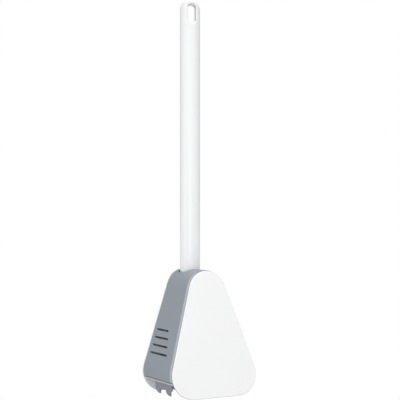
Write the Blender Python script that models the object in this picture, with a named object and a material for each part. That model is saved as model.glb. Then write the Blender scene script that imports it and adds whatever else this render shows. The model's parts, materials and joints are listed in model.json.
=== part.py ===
"""Toilet brush that slides sideways out of its holder.

Metres, +Z up, +X to the right, the front towards -Y. The holder is a rounded triangle in the XZ plane.
Depths are measured forward from the rear face of the back plate, and y_at turns a depth into Y.
"""

import math

import bmesh
import bpy
import numpy as np

# Fits
SEAM = 0.0003
HANDLE_CLEARANCE = 0.0008
HANDLE_REAR_GAP = 0.0006
FORK_CLEARANCE = 0.0007
FORK_SIDE_GAP = 0.0008
FLANGE_GAP = 0.0010
FRONT_CLEARANCE = 0.0032
REAR_CLEARANCE = 0.0037
HEAD_SIDE_CLEARANCE = 0.0076

# Holder outline and depth
HALF_AT_FOOT = 0.0637
SIDE_LEAN = math.radians(18.1)
TOP_RADIUS = 0.0246
CORNER_RADIUS = 0.0248
DEPTH_AT_FOOT = 0.0770
FRONT_LEAN = math.radians(9.9)
BACK_PLATE_THICKNESS = 0.0020
SHELL_WALL = 0.0022
FRONT_WALL = 0.0020
FRONT_FLANGE = 0.0030
SHELL_FOOT = 0.0172
WAY_BELOW_TOP = 0.0283
LIP_HEIGHT = 0.0016
LIP_STEP = 0.0008
RIM_BEVEL = 0.0026
RIB_HEIGHT = 0.0030
RIB_THICKNESS = 0.0014

# Front panel
PANEL_THICKNESS = 0.0025
PANEL_INSET = 0.0007
PANEL_EDGE = 0.0008
PEG_RADIUS = 0.0020
PEG_TAIL = 0.0010
PEG_MARGIN = 0.0170
PEG_ABOVE_FOOT = 0.0278
PEG_BELOW_WAY = 0.0107

# Vent slots in the left wall
VENT_COUNT = 4
VENT_ABOVE_FOOT = 0.0291
VENT_PITCH = 0.0086
VENT_HEIGHT = 0.0023
VENT_REAR_MARGIN = 0.0062
VENT_FRONT_MARGIN = 0.0152
VENT_STEP_BACK = 0.0024

# Screws and bosses
BOSS_RADIUS = 0.0031
BOSS_BITE = 0.0010
BOSS_GAP = 0.0045
SCREW_HEAD_RADIUS = 0.0029
SCREW_HEAD_DEPTH = 0.0014
SCREW_RADIUS = 0.0014
SCREW_RECESS = 0.0010
SHELL_SCREW_LENGTH = 0.0140
SCREW_END_WALL = 0.0009

# Wall pads
PAD_THICKNESS = 0.0010
PAD_CORNER = 0.0040
LOWER_PAD_WIDTH = 0.0640
LOWER_PAD_FOOT = 0.0190
LOWER_PAD_SHARE = 0.531
UPPER_PAD_WIDTH = 0.0300
PAD_GAP = 0.0170
PAD_BELOW_SCREWS = 0.0099

# Handle
HANDLE_RADIUS = 0.0116
HANDLE_WALL = 0.0016
HANDLE_TOP = 0.4500
CAP_LENGTH = 0.0316
CAP_SPIGOT = 0.0160
HOLE_WIDTH = 0.0100
HOLE_HEIGHT = 0.0241
HOLE_TOP_WALL = 0.0036
HOLE_TO_RIGHT = 0.0015
HOLE_TURN = math.radians(24.0)

# Fork
FORK_BELOW_TOP = 0.0175
FORK_THICKNESS = 0.0040
FORK_PRONG_MARGIN = 0.0072
FLANGE_HEIGHT = 0.0135
FORK_SCREW_LEFT_X = -0.0100
FORK_SCREW_RIGHT_X = 0.0150
GUSSET_THICKNESS = 0.0022
GUSSET_LENGTH = 0.0220

# Neck
NECK_RADIUS = 0.0065
COLLAR_THICKNESS = 0.0030
NECK_SPIGOT = 0.0240
SPIGOT_CHAMFER = 0.0006
BEND_START = 0.0018
BEND_HEIGHT = 0.0194
BEND_END = 0.0015
STEM_RADIUS = 0.0060
STEM_LENGTH = 0.0190
PIN_RADIUS = 0.0015
PIN_BELOW_TOP = 0.0110

# Brush head
HEAD_TOP_RADIUS = 0.0120
HEAD_CORNER_RADIUS = 0.0090
HEAD_LOW = 0.0100
HEAD_WALL = 0.0025
SOCKET_FLOOR = 0.0075

# Bristles
BRISTLE_COLUMNS = 13
BRISTLE_ROWS = 12
BRISTLE_ABOVE_LOW = 0.0025
BRISTLE_BELOW_TOP = 0.0258
BRISTLE_MARGIN = 0.0030
SKIN_THICKNESS = 0.0020
BRISTLE_LENGTH = 0.0090
BRISTLE_SHARE = 0.52
BRISTLE_TAPER = 0.55
BRISTLE_SPLAY = 0.0016

# Soft edge of the head, with a rail of fins at each end
SKIRT_THICKNESS = 0.0027
SKIRT_BELOW_BRISTLES = 0.0110
FIN_COUNT = 2
FIN_THICKNESS = 0.0014
FIN_REAR_MARGIN = 0.0098
FIN_FRONT_MARGIN = 0.0036
FIN_LENGTH = 0.0108
FIN_TIP_Z = 0.0017
FIN_TIP_WIDTH = 0.0006
FIN_FLARE = 0.0012
FIN_BELOW_HEAD = 0.0031

# Smoothness
ARC_STEPS = 10
FILLET_STEPS = 4
ROUND_SIDES = 40
SMALL_SIDES = 16
HEX_SIDES = 6
SMOOTH_BELOW = math.radians(32)

FAR = 0.2


# Outlines in the XZ plane


def rounded_triangle(half, lean, top_radius, corner_radius, low=0.0, inset=0.0):
    """Points of a triangle with round corners, anticlockwise from the right corner, each side moved in by inset."""
    corner_z = low + corner_radius
    corner_x = half - math.tan(lean) * corner_z - corner_radius / math.cos(lean)
    top_z = (half * math.cos(lean) - top_radius) / math.sin(lean)
    arcs = (
        (corner_x, corner_z, corner_radius, -math.pi / 2, lean),
        (0.0, top_z, top_radius, lean, math.pi - lean),
        (-corner_x, corner_z, corner_radius, math.pi - lean, 1.5 * math.pi),
    )
    points = []
    for x, z, radius, start, end in arcs:
        for turn in np.linspace(start, end, ARC_STEPS + 1):
            points.append((x + (radius - inset) * math.cos(turn), z + (radius - inset) * math.sin(turn)))
    return points


def top_of(outline):
    """Height of an outline's highest point."""
    return max(z for _, z in outline)


def half_at(outline, height):
    """Half width of an outline at a height, read between the points of its right side."""
    right = sorted((z, x) for x, z in outline if x > -SEAM)
    return float(np.interp(height, [z for z, _ in right], [x for _, x in right]))


def holder_outline(inset=0.0):
    return rounded_triangle(HALF_AT_FOOT, SIDE_LEAN, TOP_RADIUS, CORNER_RADIUS, inset=inset)


def panel_outline(inset=0.0):
    half = HALF_AT_FOOT - PANEL_INSET / math.cos(SIDE_LEAN)
    return rounded_triangle(half, SIDE_LEAN, TOP_RADIUS - PANEL_INSET, CORNER_RADIUS, inset=inset)


def head_outline(inset=0.0):
    """The head's sides run from its half width at the foot to touch the arc of its top, just below the neck's bend."""
    centre_z = HEAD_TOP - HEAD_TOP_RADIUS
    lean = math.acos(HEAD_TOP_RADIUS / math.hypot(HEAD_HALF_AT_FOOT, centre_z))
    lean -= math.atan2(centre_z, HEAD_HALF_AT_FOOT)
    return rounded_triangle(
        HEAD_HALF_AT_FOOT, lean, HEAD_TOP_RADIUS, HEAD_CORNER_RADIUS, low=HEAD_LOW, inset=inset
    )


def box_outline(low_a, high_a, low_b, high_b):
    return [(low_a, low_b), (high_a, low_b), (high_a, high_b), (low_a, high_b)]


def round_box_outline(width, height, radius, centre=(0.0, 0.0), steps=FILLET_STEPS):
    """Points of a rectangle with round corners, or of a slot with round ends where the radius is half its height."""
    points = []
    for quarter, (sx, sz) in enumerate(((1, -1), (1, 1), (-1, 1), (-1, -1))):
        x = centre[0] + sx * (width / 2 - radius)
        z = centre[1] + sz * (height / 2 - radius)
        start = (quarter - 1) * math.pi / 2
        for turn in np.linspace(start, start + math.pi / 2, steps + 1):
            points.append((x + radius * math.cos(turn), z + radius * math.sin(turn)))
    return points


# Sizes that follow from the ones above

HOLDER_TOP = top_of(holder_outline())
FULL_DEPTH = DEPTH_AT_FOOT - math.tan(FRONT_LEAN) * PANEL_EDGE
BACK_Y = (FULL_DEPTH - SEAM - PAD_THICKNESS) / 2
SHELL_REAR = BACK_PLATE_THICKNESS + SEAM
WAY_TOP = HOLDER_TOP - WAY_BELOW_TOP
HANDLE_DEPTH = BACK_PLATE_THICKNESS + HANDLE_REAR_GAP + HANDLE_RADIUS
BORE_RADIUS = HANDLE_RADIUS - HANDLE_WALL
SPIGOT_RADIUS = BORE_RADIUS - SEAM

FORK_TOP = HOLDER_TOP - FORK_BELOW_TOP
FORK_LOW = FORK_TOP - FORK_THICKNESS
FORK_HALF_WIDTH = half_at(holder_outline(SHELL_WALL), FORK_TOP) - FORK_SIDE_GAP
FORK_REACH = HANDLE_DEPTH + HANDLE_RADIUS + FORK_PRONG_MARGIN
FLANGE_LOW = FORK_LOW - FLANGE_HEIGHT
FLANGE_FRONT = HANDLE_DEPTH - NECK_RADIUS - FLANGE_GAP
FORK_SCREW_Z = (FORK_LOW + FLANGE_LOW) / 2
FORK_SCREW_LENGTH = FLANGE_FRONT - SCREW_END_WALL

COLLAR_LOW = FORK_TOP + SEAM
COLLAR_HIGH = COLLAR_LOW + COLLAR_THICKNESS
TUBE_LOW = COLLAR_HIGH + SEAM
TUBE_HIGH = HANDLE_TOP - CAP_LENGTH - SEAM
BEND_HIGH_Z = FORK_LOW - BEND_START
BEND_LOW_Z = BEND_HIGH_Z - BEND_HEIGHT

HEAD_TOP = BEND_LOW_Z - BEND_END
HEAD_HALF_AT_FOOT = HALF_AT_FOOT - SHELL_WALL - HEAD_SIDE_CLEARANCE - SKIRT_THICKNESS - SEAM
BRISTLE_REACH = SEAM + SKIN_THICKNESS + BRISTLE_LENGTH
HEAD_REAR_DEPTH = BACK_PLATE_THICKNESS + REAR_CLEARANCE + BRISTLE_REACH
HEAD_SOLID_ABOVE = HEAD_TOP - STEM_LENGTH - SOCKET_FLOOR
PIN_Z = HEAD_TOP - PIN_BELOW_TOP
BRISTLE_LOW = HEAD_LOW + BRISTLE_ABOVE_LOW
BRISTLE_HIGH = HEAD_TOP - BRISTLE_BELOW_TOP
SKIRT_TOP = BRISTLE_HIGH - SKIRT_BELOW_BRISTLES
SKIRT_REAR = HEAD_REAR_DEPTH - SEAM - SKIN_THICKNESS
FIN_TOP_Z = HEAD_LOW + HEAD_CORNER_RADIUS
FIN_ROOT_Z = HEAD_LOW - FIN_BELOW_HEAD

VENT_LOWEST = SHELL_FOOT + VENT_ABOVE_FOOT
BOSS_LOWER_Z = VENT_LOWEST - VENT_HEIGHT / 2 - BOSS_GAP - BOSS_RADIUS
BOSS_UPPER_Z = FLANGE_LOW - BOSS_GAP - BOSS_RADIUS
PADS_TOP = FORK_SCREW_Z - SCREW_HEAD_RADIUS - PAD_BELOW_SCREWS
PADS_HEIGHT = PADS_TOP - LOWER_PAD_FOOT - PAD_GAP
LOWER_PAD_HEIGHT = PADS_HEIGHT * LOWER_PAD_SHARE
UPPER_PAD_HEIGHT = PADS_HEIGHT - LOWER_PAD_HEIGHT
LOWER_PAD_Z = LOWER_PAD_FOOT + LOWER_PAD_HEIGHT / 2
UPPER_PAD_Z = PADS_TOP - UPPER_PAD_HEIGHT / 2


# Depths of the leaning faces, as functions of height


def y_at(depth):
    return BACK_Y - depth


def panel_front(z):
    return DEPTH_AT_FOOT - math.tan(FRONT_LEAN) * z


def panel_back(z):
    return panel_front(z) - PANEL_THICKNESS


def shell_front(z):
    return panel_back(z) - SEAM


def shell_inside(z):
    return shell_front(z) - FRONT_WALL


def flange_inside(z):
    return shell_inside(z) - FRONT_FLANGE


def head_front(z):
    return flange_inside(z) - FRONT_CLEARANCE - BRISTLE_REACH


def head_rear(z):
    """The head's rear face is upright, so its depth is the same at each height, which may be an array."""
    return HEAD_REAR_DEPTH + 0.0 * z


def skirt_front(z):
    return head_front(z) + SEAM + SKIN_THICKNESS


STEM_DEPTH = (HEAD_REAR_DEPTH + head_front(HEAD_TOP)) / 2


# Meshes


def clear_scene():
    for obj in list(bpy.data.objects):
        bpy.data.objects.remove(obj, do_unlink=True)


def surface(name, colour, roughness, metallic=0.0):
    material = bpy.data.materials.new(name)
    material.use_nodes = True
    shader = material.node_tree.nodes["Principled BSDF"]
    shader.inputs["Base Color"].default_value = (*colour, 1.0)
    shader.inputs["Roughness"].default_value = roughness
    shader.inputs["Metallic"].default_value = metallic
    material.diffuse_color = (*colour, 1.0)
    return material


def solid(name, points, faces, material=None, smooth=False):
    """A new object from points and faces, with the faces turned outwards."""
    mesh = bpy.data.meshes.new(name)
    mesh.from_pydata([tuple(point) for point in points], [], faces)
    work = bmesh.new()
    work.from_mesh(mesh)
    bmesh.ops.recalc_face_normals(work, faces=work.faces)
    work.to_mesh(mesh)
    work.free()
    if smooth:
        mesh.shade_smooth()
        mesh.set_sharp_from_angle(angle=SMOOTH_BELOW)
    obj = bpy.data.objects.new(name, mesh)
    bpy.context.scene.collection.objects.link(obj)
    if material:
        mesh.materials.append(material)
    return obj


def loft(name, rings, material=None, smooth=False):
    """A closed solid through rings of as many points each, with flat ends."""
    count = len(rings[0])
    points = [point for ring in rings for point in ring]
    faces = [tuple(range(count))[::-1], tuple(range(len(points) - count, len(points)))]
    for level in range(len(rings) - 1):
        base = level * count
        for i in range(count):
            j = (i + 1) % count
            faces.append((base + i, base + j, base + count + j, base + count + i))
    return solid(name, points, faces, material, smooth)


def ring_at(outline, depth):
    """An outline of the XZ plane put at a depth, which may be a function of height."""
    return [(x, y_at(depth(z) if callable(depth) else depth), z) for x, z in outline]


def prism(name, outline, near, far, material=None, smooth=False):
    """An outline of the XZ plane carried from one depth to another."""
    return loft(name, [ring_at(outline, near), ring_at(outline, far)], material, smooth)


def bar_along_x(name, outline, low_x, high_x, material=None):
    """An outline of depths and heights carried along X."""
    return loft(name, [[(x, y_at(depth), z) for depth, z in outline] for x in (low_x, high_x)], material)


def slab(name, outline, low_z, high_z, material=None):
    """An outline of X and depth carried upwards."""
    return loft(name, [[(x, y_at(depth), z) for x, depth in outline] for z in (low_z, high_z)], material)


def turned(name, profile, centre, axis="Z", sides=ROUND_SIDES, hollow=False, material=None):
    """A profile of (radius, distance) pairs turned round an axis, closed on the axis or, if hollow, onto itself."""
    angles = np.arange(sides) * 2 * math.pi / sides
    points = []
    rings = []

    def place(radius, along, turn):
        across, up = radius * math.cos(turn), radius * math.sin(turn)
        if axis == "Z":
            return centre[0] + across, y_at(centre[1]) + up, along
        if axis == "Y":
            return centre[0] + across, y_at(along), centre[1] + up
        return along, y_at(centre[0]) + across, centre[1] + up

    for radius, along in profile:
        if radius == 0:
            rings.append([len(points)] * sides)
            points.append(place(0.0, along, 0.0))
        else:
            rings.append(list(range(len(points), len(points) + sides)))
            points.extend(place(radius, along, turn) for turn in angles)
    pairs = list(zip(rings, rings[1:] + rings[:1] if hollow else rings[1:]))
    faces = []
    for lower, upper in pairs:
        for i in range(sides):
            j = (i + 1) % sides
            corners = (lower[i], lower[j], upper[j], upper[i])
            faces.append(tuple(dict.fromkeys(corners)))
    return solid(name, points, faces, material, smooth=True)


def rod(name, radius, low, high, centre, axis="Y", sides=SMALL_SIDES, material=None):
    profile = [(0, low), (radius, low), (radius, high), (0, high)]
    return turned(name, profile, centre, axis, sides, material=material)


def boolean(target, tool, operation):
    """Cuts or joins with a tool, which stays as a hidden guide."""
    tool.hide_render = True
    tool.display_type = "WIRE"
    modifier = target.modifiers.new(tool.name, "BOOLEAN")
    modifier.operation = operation
    modifier.solver = "EXACT"
    modifier.object = tool


def cut(target, *tools):
    for tool in tools:
        boolean(target, tool, "DIFFERENCE")


def join(target, *tools):
    for tool in tools:
        boolean(target, tool, "UNION")


# Holder


def boss_place(z):
    """Centre of a screw boss that grows out of the left wall at a height."""
    return -half_at(holder_outline(SHELL_WALL + BOSS_RADIUS - BOSS_BITE), z), z


def peg_places():
    """Two pegs on each side of the panel, the same distance in from its edge."""
    heights = (SHELL_FOOT + PEG_ABOVE_FOOT, WAY_TOP - PEG_BELOW_WAY)
    return [(side * half_at(panel_outline(PEG_MARGIN), z), z) for z in heights for side in (-1, 1)]


def screw_places():
    """X, Z and length of each screw."""
    return {
        "shell_screw_lower": (*boss_place(BOSS_LOWER_Z), SHELL_SCREW_LENGTH),
        "shell_screw_upper": (*boss_place(BOSS_UPPER_Z), SHELL_SCREW_LENGTH),
        "fork_screw_left": (FORK_SCREW_LEFT_X, FORK_SCREW_Z, FORK_SCREW_LENGTH),
        "fork_screw_right": (FORK_SCREW_RIGHT_X, FORK_SCREW_Z, FORK_SCREW_LENGTH),
    }


def make_back_plate(material):
    """Flat rounded triangle with countersunk holes, and a rib that locates the left wall between its bosses."""
    plate = prism("back_plate", holder_outline(), 0.0, BACK_PLATE_THICKNESS, material)
    keep_off = BOSS_RADIUS + 2 * SEAM
    heights = np.linspace(BOSS_LOWER_Z + keep_off, BOSS_UPPER_Z - keep_off, FILLET_STEPS)
    rib = []
    for inset, along in ((SHELL_WALL + SEAM, heights), (SHELL_WALL + SEAM + RIB_THICKNESS, heights[::-1])):
        rib += [(-half_at(holder_outline(inset), z), z) for z in along]
    join(plate, prism("locating_rib", rib, BACK_PLATE_THICKNESS / 2, BACK_PLATE_THICKNESS + RIB_HEIGHT))
    for name, (x, z, _) in screw_places().items():
        wide, narrow = SCREW_HEAD_RADIUS + SEAM, SCREW_RADIUS + SEAM
        profile = [
            (0, -BACK_PLATE_THICKNESS),
            (wide, -BACK_PLATE_THICKNESS),
            (wide, SEAM),
            (narrow, SEAM + SCREW_HEAD_DEPTH),
            (narrow, 2 * BACK_PLATE_THICKNESS),
            (0, 2 * BACK_PLATE_THICKNESS),
        ]
        cut(plate, turned(f"{name}_hole", profile, (x, z), "Y", SMALL_SIDES))
    return plate


def handle_way_outline():
    """Slot in the top for the tube: a half circle on the left, open to the right."""
    radius = HANDLE_RADIUS + HANDLE_CLEARANCE
    arc = [
        (-radius * math.cos(turn), HANDLE_DEPTH + radius * math.sin(turn))
        for turn in np.linspace(-math.pi / 2, math.pi / 2, ROUND_SIDES // 2 + 1)
    ]
    return [*arc, (FAR, HANDLE_DEPTH + radius), (FAR, HANDLE_DEPTH - radius)]


def vent_outline(number):
    """Level slot with round ends in the left wall. The higher a slot is, the further back its front end stops."""
    z = VENT_LOWEST + VENT_PITCH * number
    rear = SHELL_REAR + VENT_REAR_MARGIN
    front = shell_inside(z) - VENT_FRONT_MARGIN - VENT_STEP_BACK * number
    return round_box_outline(front - rear, VENT_HEIGHT, VENT_HEIGHT / 2, ((front + rear) / 2, z))


def make_outer_shell(material):
    """Left wall, arch and front wall in one moulding, open behind, below and on the right."""
    shell = loft(
        "outer_shell",
        [
            ring_at(holder_outline(), SHELL_REAR),
            ring_at(holder_outline(), lambda z: shell_front(z) - RIM_BEVEL),
            ring_at(holder_outline(PANEL_INSET), shell_front),
        ],
        material,
        smooth=True,
    )
    cut(shell, prism("shell_hollow", holder_outline(SHELL_WALL), 0.0, shell_inside))
    for name, height in (("boss_lower", BOSS_LOWER_Z), ("boss_upper", BOSS_UPPER_Z)):
        x, z = boss_place(height)
        join(shell, rod(name, BOSS_RADIUS, SHELL_REAR, shell_inside(z) + FRONT_WALL / 2, (x, z)))
        cut(shell, rod(f"{name}_bore", SCREW_RADIUS + SEAM, 0.0, SHELL_SCREW_LENGTH + 2 * SEAM, (x, z)))
    cut(
        shell,
        prism("foot_way", box_outline(-FAR, FAR, -FAR, SHELL_FOOT), -FAR, FAR),
        prism("head_way", box_outline(0.0, FAR, -FAR, WAY_TOP), -FAR, flange_inside),
        slab("handle_way", handle_way_outline(), WAY_TOP - SEAM, HOLDER_TOP + FAR),
    )
    step = prism("lip_step", box_outline(-FAR, FAR, 0.0, SHELL_FOOT + LIP_HEIGHT), -FAR, FAR)
    cut(step, prism("lip_core", holder_outline(LIP_STEP), -2 * FAR, 2 * FAR))
    cut(shell, step)
    for number in range(VENT_COUNT):
        cut(shell, bar_along_x(f"vent_{number}", vent_outline(number), -FAR, -HALF_AT_FOOT / 3))
    for number, (x, z) in enumerate(peg_places()):
        cut(shell, rod(f"peg_hole_{number}", PEG_RADIUS + SEAM, shell_inside(z) / 2, FAR, (x, z)))
    return shell


def make_front_panel(material):
    """Thin cover with a rounded front edge, and pegs that go into the front wall."""
    rings = [ring_at(panel_outline(), panel_back)]
    for turn in np.linspace(0.0, math.pi / 2, FILLET_STEPS):
        inset = PANEL_EDGE * (1 - math.cos(turn))
        back = PANEL_EDGE * (1 - math.sin(turn))
        rings.append(ring_at(panel_outline(inset), lambda z, back=back: panel_front(z) - back))
    panel = loft("front_panel", rings, material, smooth=True)
    for number, (x, z) in enumerate(peg_places()):
        low = shell_inside(z) - PEG_TAIL
        join(panel, rod(f"peg_{number}", PEG_RADIUS, low, panel_back(z) + PANEL_THICKNESS / 2, (x, z)))
    return panel


def make_hanger_fork(material):
    """Plate with a slot open to the right, a flange screwed to the back plate, and a gusset on its closed side."""
    radius = NECK_RADIUS + FORK_CLEARANCE
    arc = [
        (-radius * math.cos(turn), HANDLE_DEPTH + radius * math.sin(turn))
        for turn in np.linspace(-math.pi / 2, math.pi / 2, SMALL_SIDES + 1)
    ]
    outline = [
        (-FORK_HALF_WIDTH, SHELL_REAR),
        (FORK_HALF_WIDTH, SHELL_REAR),
        (FORK_HALF_WIDTH, HANDLE_DEPTH - radius),
        *arc,
        (FORK_HALF_WIDTH, HANDLE_DEPTH + radius),
        (FORK_HALF_WIDTH, FORK_REACH),
        (-FORK_HALF_WIDTH, FORK_REACH),
    ]
    fork = slab("hanger_fork", outline, FORK_LOW, FORK_TOP, material)
    flange = box_outline(-FORK_HALF_WIDTH, FORK_HALF_WIDTH, FLANGE_LOW, FORK_LOW + SEAM)
    join(fork, prism("flange", flange, SHELL_REAR, FLANGE_FRONT))
    gusset = [
        (FLANGE_FRONT - SEAM, FORK_LOW + SEAM),
        (FLANGE_FRONT - SEAM, FLANGE_LOW + SEAM),
        (FLANGE_FRONT, FLANGE_LOW + SEAM),
        (SHELL_REAR + GUSSET_LENGTH, FORK_LOW + SEAM),
    ]
    gusset_left = -FORK_HALF_WIDTH + SEAM
    join(fork, bar_along_x("gusset", gusset, gusset_left, gusset_left + GUSSET_THICKNESS))
    for name in ("fork_screw_left", "fork_screw_right"):
        x, z, length = screw_places()[name]
        cut(fork, rod(f"{name}_bore", SCREW_RADIUS + SEAM, 0.0, length + 2 * SEAM, (x, z)))
    return fork


def make_screw(name, x, z, length, material):
    """Countersunk screw along Y with a six-sided recess."""
    profile = [
        (0, SEAM),
        (SCREW_HEAD_RADIUS, SEAM),
        (SCREW_RADIUS, SEAM + SCREW_HEAD_DEPTH),
        (SCREW_RADIUS, length - SCREW_RADIUS),
        (0, length),
    ]
    screw = turned(name, profile, (x, z), "Y", SMALL_SIDES, material=material)
    cut(screw, rod(f"{name}_recess", SCREW_RADIUS, -SEAM, SEAM + SCREW_RECESS, (x, z), sides=HEX_SIDES))
    return screw


def make_wall_pad(name, width, height, z, material):
    outline = round_box_outline(width, height, PAD_CORNER, (0.0, z))
    return prism(name, outline, -SEAM, -SEAM - PAD_THICKNESS, material)


# Brush


def make_handle_tube(material):
    profile = [
        (BORE_RADIUS, TUBE_LOW),
        (HANDLE_RADIUS, TUBE_LOW),
        (HANDLE_RADIUS, TUBE_HIGH),
        (BORE_RADIUS, TUBE_HIGH),
    ]
    return turned("handle_tube", profile, (0.0, HANDLE_DEPTH), hollow=True, material=material)


def along_hole(outline, reach):
    """Rings of an outline carried along the hanging hole's own direction, which is turned from the front."""
    c, s = math.cos(HOLE_TURN), math.sin(HOLE_TURN)
    middle = y_at(HANDLE_DEPTH)
    return [[(x * c + along * s, middle - x * s + along * c, z) for x, z in outline] for along in (-reach, reach)]


def make_hanging_cap(material):
    """Rounded end of the handle with a spigot below and a long hole through it, a little right of its middle."""
    low = HANDLE_TOP - CAP_LENGTH
    over_top = HANDLE_TOP + HANDLE_RADIUS
    profile = [
        (0, low - CAP_SPIGOT),
        (SPIGOT_RADIUS - SPIGOT_CHAMFER, low - CAP_SPIGOT),
        (SPIGOT_RADIUS, low - CAP_SPIGOT + SPIGOT_CHAMFER),
        (SPIGOT_RADIUS, low),
        (HANDLE_RADIUS, low),
        (HANDLE_RADIUS, over_top),
        (0, over_top),
    ]
    cap = turned("hanging_cap", profile, (0.0, HANDLE_DEPTH), material=material)
    middle_z = HANDLE_TOP - HANDLE_RADIUS
    arch = [
        (HANDLE_RADIUS * math.cos(turn), middle_z + HANDLE_RADIUS * math.sin(turn))
        for turn in np.linspace(math.pi, 0.0, 2 * ARC_STEPS + 1)
    ]
    wide, high, reach = 2 * HANDLE_RADIUS, over_top + HANDLE_RADIUS, 2 * HANDLE_RADIUS
    outside = [(-wide, middle_z), *arch, (wide, middle_z), (wide, high), (-wide, high)]
    centre = (HOLE_TO_RIGHT, HANDLE_TOP - HOLE_TOP_WALL - HOLE_HEIGHT / 2)
    hole = round_box_outline(HOLE_WIDTH, HOLE_HEIGHT, HOLE_WIDTH / 2, centre, ARC_STEPS)
    cut(cap, loft("round_end", along_hole(outside, reach)), loft("hanging_hole", along_hole(hole, reach)))
    return cap


def make_bent_neck(material):
    """Level rings whose middle moves forward in a smooth step between the fork and the head.

    Where the neck leans, a ring is drawn out in depth, so that the neck keeps most of its thickness.
    """
    levels = [
        (COLLAR_HIGH + NECK_SPIGOT, SPIGOT_RADIUS - SPIGOT_CHAMFER),
        (COLLAR_HIGH + NECK_SPIGOT - SPIGOT_CHAMFER, SPIGOT_RADIUS),
        (COLLAR_HIGH, SPIGOT_RADIUS),
        (COLLAR_HIGH, HANDLE_RADIUS - SEAM),
        (COLLAR_LOW, HANDLE_RADIUS - SEAM),
        (COLLAR_LOW, NECK_RADIUS),
    ]
    for share in np.linspace(0.0, 1.0, ARC_STEPS + 1):
        levels.append((BEND_HIGH_Z - BEND_HEIGHT * share, NECK_RADIUS + (STEM_RADIUS - NECK_RADIUS) * share))
    levels.append((HEAD_TOP - STEM_LENGTH, STEM_RADIUS))
    forward = STEM_DEPTH - HANDLE_DEPTH
    angles = np.arange(ROUND_SIDES // 2) * 4 * math.pi / ROUND_SIDES
    rings = []
    for z, radius in levels:
        share = min(max((BEND_HIGH_Z - z) / BEND_HEIGHT, 0.0), 1.0)
        depth = HANDLE_DEPTH + forward * share**2 * (3 - 2 * share)
        slope = forward * 6 * share * (1 - share) / BEND_HEIGHT
        long = radius * math.sqrt(1 + slope**2 / 2)
        rings.append([(radius * math.cos(a), y_at(depth) + long * math.sin(a), z) for a in angles])
    neck = loft("bent_neck", rings, material, smooth=True)
    cut(neck, rod("neck_pin_bore", PIN_RADIUS + SEAM, -FAR, FAR, (STEM_DEPTH, PIN_Z), "X"))
    return neck


def make_head_core(material):
    """Wedge with a socket for the stem, hollow below its solid top and open at the foot."""
    core = prism("head_core", head_outline(), head_rear, head_front, material, smooth=True)
    inner_rear = HEAD_REAR_DEPTH + HEAD_WALL

    def inner_front(z):
        return head_front(z) - HEAD_WALL

    hollow = prism("head_hollow", head_outline(HEAD_WALL), inner_rear, inner_front)
    cut(hollow, prism("head_solid", box_outline(-FAR, FAR, HEAD_SOLID_ABOVE, FAR), -FAR, FAR))
    mouth_half = half_at(head_outline(), HEAD_LOW + HEAD_CORNER_RADIUS) - 2 * HEAD_CORNER_RADIUS
    mouth = box_outline(-mouth_half, mouth_half, HEAD_LOW - HEAD_WALL, HEAD_LOW + 2 * HEAD_WALL)
    cut(core, hollow, prism("head_mouth", mouth, inner_rear + SEAM, lambda z: inner_front(z) - SEAM))
    socket_low = HEAD_TOP - STEM_LENGTH - SEAM
    cut(
        core,
        rod("socket", STEM_RADIUS + SEAM, socket_low, FAR, (0.0, STEM_DEPTH), "Z", ROUND_SIDES // 2),
        rod("core_pin_bore", PIN_RADIUS + SEAM, -FAR, FAR, (STEM_DEPTH, PIN_Z), "X"),
    )
    return core


def make_neck_pin(material):
    half = half_at(head_outline(), PIN_Z) - HEAD_WALL / 2
    return rod("neck_pin", PIN_RADIUS, -half, half, (STEM_DEPTH, PIN_Z), "X", material=material)


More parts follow.
